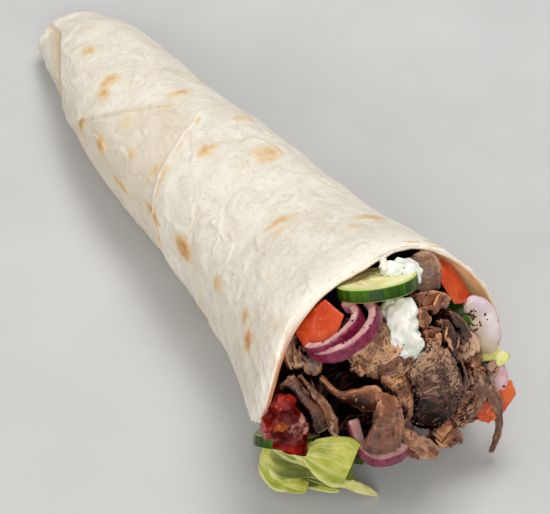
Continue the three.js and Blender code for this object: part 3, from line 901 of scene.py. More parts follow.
def meat(name, warm, seed, strips=(), thickness=0, petals=1, shreds=0, shred_size=1.0, sheets=(), dark=(0, 0),
         crumb=0.0, strength=1.0, lumps=1.0, slot="meat", **shape):
    """One piece of shaved meat, made of strips, each a route and widths, and of sheets stretched over routes.
    petals splits a strip into slices side by side, and shreds adds small ones lying over it. warm is how
    orange-brown it is, and dark how its painted shade runs from one end of the route to the other."""
    texture = (crumb, strength, lumps)
    made = []
    for k, (routes, sheet_thickness, sheet_warm, sheet_dark) in enumerate(sheets):
        sheet = ruled(name, routes, sheet_thickness, seed + 7 * k)
        made.append(meat_solid(sheet, seed + 7 * k, sheet_warm, sheet_dark, *texture))
    for route, widths in strips:
        line, widths = placed(name, route), np.array(widths, float)
        if petals == 1:
            whole = strip(line, widths, thickness, TOWARDS_MOUTH, seed, **shape)
            made.append(meat_solid(whole, seed, warm, dark, *texture))
        else:
            made += petals_of(line, widths, thickness, warm, dark, seed, petals, texture, shape)
    bodies = list(made)
    for k in range(shreds):
        _, rings, facing = bodies[RNG.integers(len(bodies))]
        size = shred_size * np.array([RNG.uniform(4, 9), RNG.uniform(1.5, 3.4), RNG.uniform(0.8, 1.4)])
        shred = draped(rings, facing, size, seed + k)
        shade = dark[0] + RNG.uniform(-0.15, 0.25)
        made.append(meat_solid(shred, seed + k, warm + RNG.uniform(-0.4, 0.4), (shade, shade), 0, strength))
    whole = join(name + "_slices", [part[0] for part in made])
    return finish_piece(whole, DARK_MEAT if slot == "dark_meat" else MEAT, name)


def meat_material(name, deep, tones, light):
    """deep, tones and light each hold a grey-brown and an orange-brown."""
    look = Shader(name, Coat_Roughness=0.22)
    lit = look.mask("dark").rise(0.9, 0.15)
    along_fibres = look.value("ShaderNodeCombineXYZ", {0: look.mask("u") * 0.14, 1: look.mask("v")})
    grain = (look.noise(1.5, 4, 0.65, place=along_fibres) - 0.5) * look.mask("fibre")
    grainy = (look.noise(1.2, 5, 0.8) - 0.5) * look.mask("crumb")
    tone = look.mask("high") + (look.noise(0.8, 4, 0.75) - 0.5) + grain * 0.45 + grainy * 0.8
    tone = tone + (look.noise(6, 2, 0.5) - 0.5) * 0.5 - look.mask("dark")
    # The tone falls with the dark mask, which is painted shade, and rises on raised parts as painted light,
    # over the meat's own grain. At its lowest the colour reaches near-black, painted shade in the gaps.
    pitch, low, high = tone.rise(-0.9, 0), tone.rise(-0.15, 0.42), tone.rise(0.4, 1)
    shades = [look.over((7, 4, 3), (pitch, deep[k]), (low, tones[k]), (high, light[k])) for k in (0, 1)]
    warm = look.mask("warm") + (look.noise(6, 2) - 0.5) * 1.1
    browned = look.mask("edge") * look.noise(3).rise(0.4, 0.65)
    base = look.over(shades[0], (warm.rise(0.1, 0.9), shades[1]), (browned * 0.55, (126, 60, 26)))
    look.set(Specular_IOR_Level=lit * 0.5, Coat_Weight=lit * 0.38, Roughness=look.noise(1.6) * 0.35 + 0.25)
    return look.finish(base, look.noise(0.7, 4, 0.75) + grain * 1.2 + grainy * 1.5, 0.28)


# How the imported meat's section grows from its blunt end: distance along Y, scale.
CORE = [
    [-104, 0.12], [-101, 0.4], [-96, 0.62], [-90, 0.78], [-82, 0.9], [-74, 0.97], [-45, 0.99], [20, 0.99],
    [131, 0.84],
]
CORE_COLUMNS = 210
CORE_SHREDS = 70
SHOWN_ROWS = 56  # the rows of its front that the shreds lie on
NOSE_DROP = 20  # how far the blunt end's middle lies below the roll's


def meat_core():
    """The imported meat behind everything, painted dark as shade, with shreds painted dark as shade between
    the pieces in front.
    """
    around = np.degrees(round_circle(CORE_COLUMNS, 0))
    rows = np.concatenate([np.linspace(-104, -68, 80), np.linspace(-62, 131, 14)])
    y, degrees = np.broadcast_arrays(rows[:, None], around)
    scale = read(CORE, y)
    rings = skin(y, degrees, -BREAD_WALL - 0.8, scale)
    rings[..., 2] -= NOSE_DROP * (1 - scale)
    facing = facing_of(rings)
    relief = 1.4 * noise(rings, 8, 51) + 1.3 * ridged(rings, 5, 52) + 0.6 * layered(rings, 2.4, 53) - 1.8
    rings = tuck(push(rings, facing, relief * (1 - smooth(-80, -68, y))))
    # The core is lighter on its raised lumps as painted light, and painted dark all over as shade.
    masks = {"high": np.clip(0.4 + relief / 3, 0, 1), "edge": 0, "warm": 0.2, "dark": 0.9, "fibre": 0.5}
    made = [solid(rings, masks | {"crumb": 0.5, "u": y, "v": degrees / 3})]
    for k in range(CORE_SHREDS):
        size = RNG.uniform(7, 14), RNG.uniform(3, 6), RNG.uniform(1.4, 2.4)
        shred = draped(rings[:SHOWN_ROWS], facing[:SHOWN_ROWS], size, 300 + k, 0.1, step=0.62, pitch=0.72)
        shade = RNG.uniform(0.55, 1.1)
        made.append(meat_solid(shred, 300 + k, RNG.uniform(0, 0.8), (shade, shade))[0])
    return finish_piece(join("meat_packed", made), DARK_MEAT, "meat_core")


def paint_crevice_shade(things, everything):
    """Adds painted shade to the dark mask of things where their surface faces other surfaces close by, in
    crevices.
    """
    step, reach, margin = 1.2, 2.6, 8
    points = np.concatenate([points_of(thing)[0] for thing in everything])
    low = points.min(0) - margin
    count = np.ceil((points.max(0) + margin - low) / step).astype(int)
    crowd = np.zeros(count)
    crowd[tuple(((points - low) / step).astype(int).T)] = 1
    for axis in (0, 1, 2):
        for _ in range(3):
            crowd = (crowd + np.roll(crowd, 1, axis) + np.roll(crowd, -1, axis)) / 3
    for thing in things:
        places, facing = points_of(thing)
        total = 0
        for out in (reach, 1.9 * reach):
            cell = np.clip(((places + facing * out - low) / step).astype(int), 0, count - 1)
            total = total + crowd[tuple(cell.T)]
        held = np.empty(len(places), np.float32)
        dark = thing.data.attributes["dark"].data
        dark.foreach_get("value", held)
        dark.foreach_set("value", (held + 1.1 * smooth(0.45, 1.05, total)).astype(np.float32))


# ---------------------------------------------------------------- cucumber

def cucumber_slice(node, radius, thickness, face, seed, shift=(0, 0, 0)):
    """A round slice with rind round its side and seeds in its faces."""
    angle = round_circle(190, 0)
    face = unit(face)
    first = unit(np.cross(face, (0.0, 1.0, 0.2)))
    second = np.cross(face, first)
    bevel = 0.5
    flat_radius, side_height = radius - bevel, 1 - bevel / (thickness / 2)
    corner = [(flat_radius + bevel * math.sin(t), side_height + (1 - side_height) * math.cos(t), 0.5 * t)
              for t in np.radians([30, 60])]
    profile = [(r, 1, 0) for r in np.linspace(0.3, flat_radius, 34)] + corner
    profile += [(radius, h, 1) for h in np.linspace(1, -1, 14) * side_height]
    profile += [(r, -h, rind) for r, h, rind in corner[::-1]]
    profile += [(r, -1, 0) for r in np.linspace(flat_radius, 0.3, 20)]
    r, h, rind = (np.array(column)[:, None] for column in zip(*profile))
    rim = 1 + 0.012 * np.sin(3 * angle + seed) + 0.008 * np.sin(7 * angle + 2 * seed)
    flat = stacked(r * np.cos(angle), r * np.sin(angle), h * 2)
    radial = r * rim + 0.16 * noise(flat * [1, 1, 0.05], 1.6, seed) * (rind > 0.9)
    seeds, _ = cells(stacked(r * 0.55, angle * 3.6, h), 1.15, seed)
    petal = np.abs(np.cos(1.5 * angle + seed))
    core = smooth(0.12, 0.2, r / radius) * (1 - smooth(0.5, 0.62, r / radius * (1 + 0.16 * petal)))
    seeded = core * (1 - smooth(0.26, 0.42, seeds)) * (rind < 0.1)
    sunk = (0.3 * seeded - 0.25 * core + 0.1 * noise(flat, 3, seed + 1)) * (rind < 0.1) * np.sign(h)
    height = h * thickness / 2 + sunk + 0.25 * noise(flat * [1, 1, 0], 14, seed + 2)
    rings = push(middle(node) + shift, first, radial * np.cos(angle))
    rings = push(push(rings, second, radial * np.sin(angle)), face, height)
    stripe = noise(flat * [1, 1, 0], 1.1, seed + 3) + 0.4 * noise(flat * [1, 1, 0], 5, seed + 4)
    masks = {"rind": rind, "radius": r / radius, "seed": seeded, "core": core}
    # low runs from 0 at the upper face to 1 at the lower face. The rind is painted darker towards the lower
    # face as shade, and lighter along its upper edge as painted light.
    masks |= {"low": (1 - h) / 2, "stripe": stripe}
    return finish_piece(make(node + "_slice", *solid(tuck(rings), masks)), CUCUMBER, node)


def cucumber_material():
    look = Shader("cucumber", Roughness=0.28, Subsurface_Weight=0.2, Subsurface_Scale=1.5 * MM)
    flesh = look.over(
        (242, 236, 166),
        (look.noise(2.5).rise(0.35, 0.65), (248, 243, 190)),
        (look.mask("core") * 0.2, (222, 208, 116)),
        (look.mask("seed") * 0.45, (236, 228, 168)),
        (look.mask("radius").rise(0.86, 0.975), (196, 208, 112)),
    )
    rind = look.over(
        (36, 68, 5),
        (look.mask("stripe").rise(-0.5, 0.7), (76, 116, 20)),
        # Painted shade towards the lower face, and painted light along the upper edge.
        (look.mask("low").rise(0.3, 1) * 0.6, (26, 56, 6)),
        (look.mask("low").rise(0.16, 0.04) * 0.6, (150, 178, 70)),
    )
    look.set(Specular_IOR_Level=look.mask("rind") * -0.25 + 0.5)
    return look.finish(look.over(flesh, (look.mask("rind").rise(0.3, 0.8), rind)), look.noise(0.9), 0.08)


# ---------------------------------------------------------------- onion

def onion_ring(node, radius, wall, height, face, start, sweep, seed, shift, opening=0.0, rising=(0, 0, 0)):
    """Part of a ring of red onion: magenta skin outside, pale cut faces. opening is how far its first end
    springs out, and rising how far that end is moved."""
    rows, columns = 150, 56
    angle = round_circle(columns)
    u, v = curved(np.cos(angle), 0.42), curved(np.sin(angle), 0.42)
    turn = np.radians(np.linspace(*sweep, rows))[:, None]
    up = unit(face)
    first = unit(np.array(start) - up * np.dot(start, up))
    place = stacked(3 * np.cos(turn), 3 * np.sin(turn), seed + 0 * u)
    taper = round_off(np.minimum(turn - turn[0], turn[-1] - turn) / 0.06, 0.05)
    sprung = opening * (1 - smooth(turn[0], turn[0] + 1.4, turn))
    radial = radius * (1 + sprung) + 0.5 * noise(place, 2, seed) - wall / 2
    radial = radial + u * wall / 2 * taper * (1 + 0.15 * noise(place, 1.5, seed + 1))
    rise = v * height / 2 * taper * (1 + 0.12 * noise(place, 1.2, seed + 2))
    rise = rise + 0.3 * noise(place, 2.5, seed + 3)
    rings = push(middle(node) + shift, first, radial * np.cos(turn))
    rings = push(push(rings, np.cross(up, first), radial * np.sin(turn)), up, rise)
    rings = push(rings, rising, (1 - smooth(turn[0], turn[0] + 1.5, turn)) ** 1.5)
    rings = push(rings, facing_of(rings), 0.12 * layered(rings, 2.2, seed + 4))
    masks = {"skin": smooth(0.55, 0.93, u), "lining": smooth(0.6, 0.95, -u), "layer": (u + 1) / 2}
    return finish_piece(make(node + "_arc", *solid(tuck(rings), masks)), ONION, node)


def onion_material():
    look = Shader("red_onion", Roughness=0.25, Specular_IOR_Level=0.55)
    look.set(Subsurface_Weight=0.15, Subsurface_Scale=MM)
    cut = look.over(
        (220, 180, 170),
        (look.noise(3).rise(0.35, 0.65), (200, 144, 144)),
        (look.mask("layer").rise(0.55, 0.95) * 0.5, (190, 104, 122)),
        (look.mask("lining") * 0.5, (190, 122, 142)),
    )
    outer_skin = look.over((98, 10, 38), (look.noise(1.6, 4, 0.65, 0.6).rise(0.35, 0.7), (156, 42, 86)))
    return look.finish(look.over(cut, (look.mask("skin"), outer_skin)), look.noise(1.2, 4, 0.6), 0.1)


PETAL_THICKNESS = 2.4


def pale_onion(node, route, widths, face, seed, material):
    route = placed(node, route)
    rings, local, edge = strip(route, widths, PETAL_THICKNESS, face, seed, ragged=0.06, wave=0.4)
    rings = tuck(push(rings, facing_of(rings), 0.12 * layered(local, 3, seed)))
    masks = {"edge": edge, "along": local[..., 0] / local[..., 0].max(), "aside": across_share(local)}
    return finish_piece(make(node + "_petal", *solid(rings, masks)), material, node)


def pale_onion_material(name, tip, pale, lilac):
    """tip is how green-brown the petal is at its far end and along one side, where it is also painted shade.
    """
    look = Shader(name, Roughness=0.3, Subsurface_Weight=0.15, Subsurface_Scale=MM)
    base = look.over(
        pale,
        (look.noise(5).rise(0.35, 0.65), lilac),
        # Green-brown along one side: the onion's own colour and painted shade.
        (look.mask("aside").rise(0.3, 0.7) * (0.8 * tip), (206, 184, 144)),
        (look.mask("along").rise(0.55, 1) * tip, (198, 178, 132)),
        (look.mask("edge") * 0.4, (206, 164, 186)),
    )
    return look.finish(base, look.noise(1.4, 4), 0.1)


# ---------------------------------------------------------------- pieces rounded from their CAD solids

def softened(node, name, voxel, rounds, extra=()):
    """A copy of a CAD solid, with extra lumps merged into it, in fine, even facets with its corners rounded
    off. The extra lumps are points and faces."""
    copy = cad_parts[node].data.copy()
    body = np.empty(len(copy.vertices) * 3)
    copy.vertices.foreach_get("co", body)
    parts = [(body.reshape(-1, 3) / MM, [list(face.vertices) for face in copy.polygons]), *extra]
    made = join(name, [(points, faces, {}) for points, faces in parts])
    remesh = made.modifiers.new("even facets", "REMESH")
    remesh.mode, remesh.voxel_size = "VOXEL", voxel * MM
    ease = made.modifiers.new("round", "SMOOTH")
    ease.factor, ease.iterations = 0.5, rounds
    bpy.context.view_layer.update()
    shaped = bpy.data.meshes.new_from_object(made.evaluated_get(bpy.context.evaluated_depsgraph_get()))
    made.modifiers.clear()
    made.data = shaped
    shaped.polygons.foreach_set("use_smooth", np.ones(len(shaped.polygons), bool))
    return made


def tomato(node, seed, wider=1.0, shift=(0, 0, 0), orange=0.0):
    made = softened(node, node + "_wedge", 0.34, 5)
    points, facing = points_of(made)
    points = push(points, ACROSS_MOUTH, (points - middle(node)) @ ACROSS_MOUTH * (wider - 1)) + shift
    relief = 0.35 * noise(points, 6, seed) + 0.12 * layered(points, 2.2, seed + 1)
    move_points(made, tuck(push(points, facing, relief)))
    # orange is painted light: an orange tint standing in for light showing through the thin flesh.
    add_mask(made, "orange", orange * smooth(-0.5, 0.3, noise(points, 5, seed + 2)))
    return finish_piece(made, TOMATO, node)


def tomato_material():
    look = Shader("tomato", Roughness=0.22, Subsurface_Weight=0.25, Subsurface_Scale=1.5 * MM)
    look.set(Subsurface_Radius=(1, 0.25, 0.1))
    base = look.over(
        (190, 56, 22),
        (look.noise(5, 3, 0.6).rise(0.3, 0.7), (210, 82, 36)),
        (look.noise(1.4).rise(0.6, 0.75), (228, 120, 66)),
        # Painted light: orange where light would show through the thin flesh.
        (look.mask("orange"), (228, 112, 52)),
    )
    return look.finish(base, look.noise(1.1), 0.08)


# Chunks of the salsa, some of which spill round the corner of the mouth: place from the middle of its node's
# box, half size along the chunk and across it, and its colour, where pale is a painted wet reflection.
SALSA_CHUNKS = [
    [(-9.4, -9.8, 10.9), 2.8, 2.5, "orange"], [(-11.5, -8, 6.5), 3.4, 2.6, "red"],
    [(-6, -8.5, 13.5), 4.2, 3, "sauce"], [(-13.3, -8, 12.4), 3.2, 2.6, "red"],
    [(-13, -8.4, 8.6), 3.2, 2.7, "sauce"], [(-7.5, -9.2, 5.2), 4.2, 3.2, "sauce"],
    [(-8, -8, 0.5), 3.6, 2.8, "red"], [(-7.6, -7.2, 17), 3.6, 2.6, "pink"],
    [(-5.2, -7.4, 16), 3, 2.6, "red"], [(-9.6, -6.6, 16.5), 3, 2.4, "sauce"],
    [(-7.2, -7, 14.5), 4.8, 3.8, "sauce"], [(-10, -7, 14), 3.8, 3.2, "sauce"],
    # pale: a painted wet reflection.
    [(-3.6, -10, 8), 3.8, 2.9, "pale"], [(-4.4, -8.9, 1.6), 4, 3.2, "sauce"],
    [(-4.6, -9.2, -2), 3.8, 3.2, "red"],
]
SALSA_TINTS = ("red", "orange", "pink", "pale")


def salsa_lumps():
    base, faces = ball(3)
    lumps = []
    for k, (place, long, wide, _) in enumerate(SALSA_CHUNKS):
        turn = unit(RNG.normal(size=3) + ACROSS_MOUTH)
        side = unit(np.cross(turn, (0.3, 0.2, 1)))
        axes = np.stack([turn * long, side * wide, np.cross(turn, side) * wide])
        lump = curved(base, 0.8) * (1 + 0.2 * noise(base, 0.9, 80 + k)[:, None]) @ axes
        lumps.append((placed("salsa", place) + lump, faces))
    return lumps


def salsa():
    made = softened("salsa", "salsa_heap", 0.42, 4, salsa_lumps())
    points, facing = points_of(made)
    from_middle = points - middle("salsa")
    aside = np.maximum(from_middle @ ACROSS_MOUTH - 4, 0) * smooth(5, -3, from_middle[:, 2])
    points = push(points, ACROSS_MOUTH, -0.8 * aside)
    distance, kind = cells(points + 2 * drift(points, 4.5, 61, 3), 6, 64)
    chunk = (1 - smooth(0.3, 0.62, distance)) * smooth(0.3, 0.5, kind)
    relief = 0.6 * chunk + 0.35 * layered(points, 4.2, 65) + 0.1 * ridged(points, 2.6, 66) - 0.3
    points = push(points, facing, relief)
    points[:, 0] = np.maximum(points[:, 0], CAD_BOX[0][0] / MM - 1)
    move_points(made, tuck(points))
    masks = {tint: np.zeros(len(points)) for tint in SALSA_TINTS}
    for place, long, wide, tint in SALSA_CHUNKS:
        near = smooth(1.35, 0.95, np.linalg.norm(from_middle - place, axis=1) / (0.5 * (long + wide)))
        for name in SALSA_TINTS:
            masks[name] = np.maximum(masks[name], near) if name == tint else masks[name] * (1 - near)
    # hollow marks the dips between the lumps, painted darker as shade.
    masks |= {"chunk": chunk, "hollow": smooth(0.1, -0.4, relief)}
    masks["wet"] = smooth(-5, 3, from_middle[:, 2] - 0.5 * from_middle[:, 1] - 6)
    for name, values in masks.items():
        add_mask(made, name, values)
    return finish_piece(made, salsa_material(), "salsa")


def salsa_material():
    look = Shader("salsa", Roughness=0.16)
    chunk = look.over((128, 14, 6), (look.noise(3).rise(0.35, 0.65), (170, 38, 16)))
    speckled = look.noise(1.6, 4, 0.7, 0.6).rise(0.44, 0.52)
    base = look.over(
        (84, 6, 3),
        (look.noise(2.6, 4, 0.6).rise(0.35, 0.65), (126, 18, 8)),
        (look.mask("chunk"), chunk),
        (look.mask("red") * 0.8, (178, 34, 14)),
        (look.mask("pink") * look.noise(2).rise(0.4, 0.7), (178, 84, 74)),
        # Painted wet reflection, speckled.
        (look.mask("pale") * speckled * 0.8, (206, 146, 132)),
        (look.mask("orange") * 0.9, (206, 106, 22)),
        # Painted shade in the dips.
        (look.mask("hollow") * 0.7, (40, 4, 2)),
    )
    glossy = look.noise(1.8, 3, 0.6).rise(0.42, 0.52) * (look.mask("wet") - look.mask("hollow"))
    look.set(Specular_IOR_Level=glossy * 0.45 + 0.05)
    return look.finish(base, look.noise(1.3, 3, 0.6), 0.3)


THREAD_WIDTHS, THREAD_THICKNESS = [3.6, 2.2, 2], 1.8


def yogurt(node, route, widths, thickness, face, seed, thread):
    """A run of yogurt. thread is the route of a thin one that clings to the bread."""
    route, thread = placed(node, route), placed(node, thread)
    rings, local, _ = strip(route, widths, thickness, face, seed, ragged=0.12, wave=0.3, blunt=0.7)
    relief = 1.1 * noise(local, 4.4, seed) + 1.1 * noise(local, 2.3, seed + 1)
    relief += 0.3 * layered(local, 1.2, seed + 2)
    # hollow paints the dips between the lumps darker, as shade.
    run = solid(tuck(push(rings, facing_of(rings), relief)), {"hollow": smooth(0.1, -0.9, relief)})
    thin = {"ragged": 0.12, "wave": 0.2, "step": 0.2}
    rings = strip(thread, THREAD_WIDTHS, THREAD_THICKNESS, face, seed + 1, **thin)[0]
    # The thread is painted a little darker all over, as shade.
    whole = join(node + "_run", [run, solid(tuck(rings), {"hollow": 0.2})])
    return finish_piece(whole, YOGURT, node)


def yogurt_material():
    look = Shader("yogurt", Roughness=0.3, Specular_IOR_Level=0.4)
    look.set(Subsurface_Weight=0.3, Subsurface_Scale=2 * MM)
    base = look.over(
        (246, 245, 238),
        (look.noise(4).rise(0.3, 0.7), (238, 238, 226)),
        # Painted shade in the dips.
        (look.mask("hollow") * 0.6, (204, 210, 184)),
    )
    return look.finish(base, look.noise(1.3), 0.1)


def green_bit(node, seed):
    """A small piece of cucumber, mostly rind."""
    made = softened(node, node + "_piece", 0.3, 2)
    points, facing = points_of(made)
    move_points(made, tuck(push(points, facing, 0.2 * noise(points, 2.5, seed))))
    add_mask(made, "rind", smooth(-0.9, -0.2, noise(points, 7, seed + 1) + 0.3))
    # The bit's rind takes the darker colour painted as shade on a slice's lower side.
    add_mask(made, "low", np.full(len(points), 0.9))
    add_mask(made, "stripe", noise(points, 2, seed + 2))
    return finish_piece(made, CUCUMBER, node)


# ---------------------------------------------------------------- lettuce

LEAF_THICKNESS = 0.9


def leaf(name, node, upper, lower, seed, pleats, veins, bulge=1.5, ruffle=0.8, shade=0.0):
    """A sheet of leaf between an upper and a lower edge, with ribs along it and a pale lower rim. Its hollows
    are painted darker as shade, and shade adds painted shade over its middle.
    """
    rows, columns = 110, 64
    upper, lower = (evenly(edge_line(node, route), rows)[:, None] for route in (upper, lower))
    u, v = np.meshgrid(np.linspace(0, 1, rows), np.linspace(0, 1, columns), indexing="ij")
    sheet = push(upper, lower - upper, v)
    out = sheet_facing(sheet)
    place = stacked(u * 4, v * 4, seed * 2.3)
    fan = v + 0.1 * noise(place, 1.8, seed) + 0.08 * u
    ribs = 0.0
    for k in range(pleats):
        centre = (k + 0.35 + 0.3 * math.sin(3 * k + seed)) / pleats
        width = (0.03 + 0.012 * math.cos(5 * k)) * (1.3 - 0.9 * u)
        ribs = np.maximum(ribs, peak(fan - centre, width) * (1 - 0.5 * u))
    ribs = ribs + veins * smooth(0.3, 0.8, ridged(place * [0.3, 1, 1], 0.5, seed + 1)) * (1 - ribs)
    rim = smooth(0.9, 0.98, v)
    arch = bulge * np.sin(np.pi * v)
    height = arch + ruffle * noise(place, 1.3, seed + 2) + 0.5 * ribs + 0.6 * rim
    half = LEAF_THICKNESS / 2 * (1 - 0.6 * (1 - smooth(0, 0.06, v)))
    # Painted shade in the hollows of the ruffles.
    hollow = smooth(0.1, -0.9, height - 0.6 * arch)
    hollow += shade * within(v, 0.05, 0.4, 0.7, 0.92) * smooth(0.1, 0.45, u)
    masks = {"rib": np.maximum(ribs, rim), "down": v, "start": 1 - u, "hollow": np.clip(hollow, 0, 1)}
    masks = {key: wrapped(values, values) for key, values in masks.items()}
    rings = wrapped(push(sheet, out, height + half), push(sheet, out, height - half))
    return finish_piece(make(name, *solid(rings, masks)), LETTUCE, node)


# hollow paints the strip dark as shade.
def leaf_strip(name, node, route, widths, thickness, seed, hollow=0.0):
    rings, local, edge = strip(placed(node, route), widths, thickness, TOWARDS_MOUTH, seed, ragged=0.08)
    share = local[..., 0] / local[..., 0].max()
    masks = {"rib": (1 - edge * 0.3) * (1 - hollow), "down": 0.35 * share}
    masks |= {"start": (1 - share) * (1 - hollow), "hollow": hollow}
    return finish_piece(make(name, *solid(rings, masks)), LETTUCE, node)


def lettuce_material():
    look = Shader("lettuce", Roughness=0.52, Specular_IOR_Level=0.3)
    look.set(Subsurface_Weight=0.12, Subsurface_Scale=1.5 * MM)
    cloud = look.noise(4.5)
    pale = look.over((226, 224, 140), (cloud.rise(0.3, 0.7), (240, 236, 176)))
    base = look.over(
        (192, 196, 74),
        (cloud.rise(0.35, 0.65), (222, 220, 116)),
        (look.mask("down").rise(0.35, 0.85) * 0.6, (136, 156, 40)),
        (look.noise(6, 2).rise(0.5, 0.72) * 0.35, (96, 126, 30)),
        # Painted shade in the hollows and under the curl.
        (look.mask("hollow") * 0.9, (70, 84, 14)),
        (look.mask("rib").rise(0.1, 0.9) * 0.7, pale),
        (look.mask("start").rise(0.6, 1) * 0.35, pale),
        (look.noise(1.8, 4, 0.6, 1).rise(0.56, 0.64) * 0.12, (214, 216, 140)),
    )
    return look.finish(base, look.noise(1.2, 4, 0.6), 0.08)


# ---------------------------------------------------------------- crumbs and flecks

def ball(splits):
    """The points and faces of a small ball."""
    shape = bmesh.new()
    bmesh.ops.create_icosphere(shape, subdivisions=splits, radius=1)
    points = np.array([vertex.co for vertex in shape.verts])
    faces = [[vertex.index for vertex in face.verts] for face in shape.faces]
    shape.free()
    return points, faces


def scattered(things, count, near=None, reach=0):
    """Random places on the front of things, and the way the surface faces there. near and reach keep them
    close to a point."""
    points, facing = (np.concatenate(part) for part in zip(*[points_of(thing) for thing in things]))
    good = facing @ unit(TOWARDS_MOUTH) > 0.1
    if near is not None:
        good &= np.linalg.norm(points - near, axis=1) < reach
    chosen = RNG.choice(np.flatnonzero(good), count)
    return points[chosen], facing[chosen]


def bits(name, places, facing, size, stretch, flatness, material, slot, masks, splits):
    """Many small uneven bits lying on a surface, as one mesh. Sizes are given as a smallest and a largest."""
    base, faces = ball(splits)
    made = []
    for place, out in zip(places, facing):
        radius = RNG.uniform(*size)
        first = unit(np.cross(out, RNG.normal(size=3)))
        axes = np.stack([first, np.cross(out, first), out])
        long = RNG.uniform(*stretch)
        shape = base * (1 + 0.28 * noise(base, 0.9, RNG.uniform(0, 50))[:, None]) * [long, 1, flatness]
        shape[:, 1] += 0.12 * RNG.normal() * shape[:, 0] ** 2
        own_masks = {mask: np.full(len(base), RNG.uniform(*limits)) for mask, limits in masks.items()}
        made.append((place + radius * (shape @ axes), faces, own_masks))
    return finish_piece(join(name, made), material)


def fleck_material(name, dark, light):
    look = Shader(name)
    return look.finish(look.over(dark, (look.noise(0.6, 2).rise(0.4, 0.6), light)), look.noise(0.4, 2), 0.05)


def floor():
    reach = 4000
    look = Shader("floor", Roughness=0.9)
    grey = look.over((196, 196, 195), (look.noise(60).rise(0.3, 0.7), (202, 202, 201)))
    corners = [[-reach, -reach, 0], [reach, -reach, 0], [reach, reach, 0], [-reach, reach, 0]]
    ground = make("floor", corners, [(0, 1, 2, 3)], {})
    ground.data.materials.append(look.finish(grey))


# ---------------------------------------------------------------- the wrap

camera()
studio()

MEAT = meat_material(
    "meat", [(44, 20, 11), (58, 25, 10)], [(120, 77, 52), (140, 77, 40)], [(208, 168, 134), (224, 162, 112)])
# DARK_MEAT is a darker copy of the meat, for the packed meat, the darker pieces and grains: partly painted
# shade, partly darker meat.
DARK_MEAT = meat_material(
    "dark_meat", [(26, 13, 9), (36, 16, 9)], [(95, 57, 38), (107, 56, 31)], [(196, 155, 122), (198, 140, 96)])
CUCUMBER, ONION = cucumber_material(), onion_material()
PETAL = pale_onion_material("pale_onion", 0.95, (236, 228, 224), (226, 206, 214))
PETAL_LOW = pale_onion_material("pale_onion_low", 0.0, (222, 182, 184), (204, 150, 168))
TOMATO, YOGURT, LETTUCE = tomato_material(), yogurt_material(), lettuce_material()

lavash()

# Salad and sauce. Routes are in millimetres from the middle of the CAD node's box.
cucumber_slice("cucumber_top", 13, 4.5, (0.11, 0.53, 0.84), 1, shift=(0, -0.6, -1.6))
cucumber_slice("cucumber_right", 7, 6.6, (0.96, -0.15, 0.24), 2, shift=(0.3, 0.7, -0.1))
cucumber_slice("cucumber_left", 11, 4.3, (0.3, 0.57, 0.76), 3)
RING_FACE, RING_START = (-0.38, 0.35, 0.86), (0.92, -0.02, 0.4)
LOW_FACE, LOW_START = (-0.1, -0.19, 0.98), (1, 0, 0)
onions = [
    onion_ring("onion_outer", 13.4, 3.3, 4.5, RING_FACE, RING_START, (-172, 14), 4, (0, 5, -0.5)),
    onion_ring("onion_inner", 9.3, 2.9, 4.5, RING_FACE, RING_START, (-168, 44), 5, (0, 1.5, -0.5), 0.35),
    onion_ring("onion_low", 12, 4, 6.4, LOW_FACE, LOW_START, (-190, -5), 6, (0, 3.5, 1), 0, (-1, -3, 13)),
]
petal = pale_onion(
    "onion_right_top",
    [(-5.9, -1, 12), (-2.6, -3.4, 8.5), (-1.7, -6.4, 3), (-2.3, -8.4, -2.5), (-3.3, -8.8, -6)],
    [5.5, 9.4, 10.4, 10, 7], (-0.45, -0.66, 0.6), 7, PETAL)
low_petal = pale_onion(
    "onion_right_low", [(0.5, 2.5, 5.5), (0.5, 0, 1.5), (-2, -1.5, -3), (-5, -2, -6)], [6, 6.5, 5.5, 4],
    TOWARDS_MOUTH, 8, PETAL_LOW)
onions += [petal, low_petal]
tomatoes = [
    tomato("tomato_left", 10),
    tomato("tomato_right_top", 11, wider=1.35, shift=(-1, 0, 2)),
    # Its orange is painted light showing through the thin flesh.
    tomato("tomato_right_edge", 12, wider=1.5, shift=(-1.8, -1.4, -1.8), orange=0.85),
    tomato("tomato_right_low", 13, wider=1.2, orange=0.35),
]
spread = salsa()
sauces = [
    yogurt(
        "yogurt_top", [(-5.5, -1.5, -3), (-2, -2, -1.3), (2, -3, -1.8), (5, -5, -5.5)], [7, 10, 11, 9], 4.4,
        (0.15, 0.1, 0.98), 21, [(-5.8, -1, 0), (-5.2, 0.5, 1.6), (-4.8, 2, 2.9)]),
    yogurt(
        "yogurt_drip", [(0.6, 7, 6.5), (-1, 1.3, 3.5), (-1.7, -3.2, -0.5), (0, -6.1, -6.3)],
        [12.5, 10.5, 9.6, 7], 6, TOWARDS_MOUTH, 24, [(-4.4, -1, 2), (-5.1, -3, -2), (-5.1, -4.2, -6)]),
]
green_bit("cucumber_low", 27)
green_bit("cucumber_crumb", 28)

# Lettuce.
leaf(
    "lettuce_fan", "lettuce_curl",
    [(-7.6, 5, 10), (-6.5, 3.8, 14.2), (-2.2, 1, 16.6), (2, -2.4, 17.2), (4.9, -5.4, 15.6)],
    [(-11, 7.5, 6), (-10, 7, 4.5), (-7.5, 3, 0), (-4.5, -1, -3.5), (-0.5, -3.5, -4.5)], 31, 8, 0.06)
leaf_strip(
    "lettuce_rib", "lettuce_curl",
    [(-9.5, 6, 4), (-6.5, 1.5, -1), (-3, -1.5, -4), (1, -3, -5), (5, -4, -8.5), (12.5, -5, -16)],
    [1.5, 2.6, 3.2, 3.8, 3.2, 1.2], 1.8, 32)
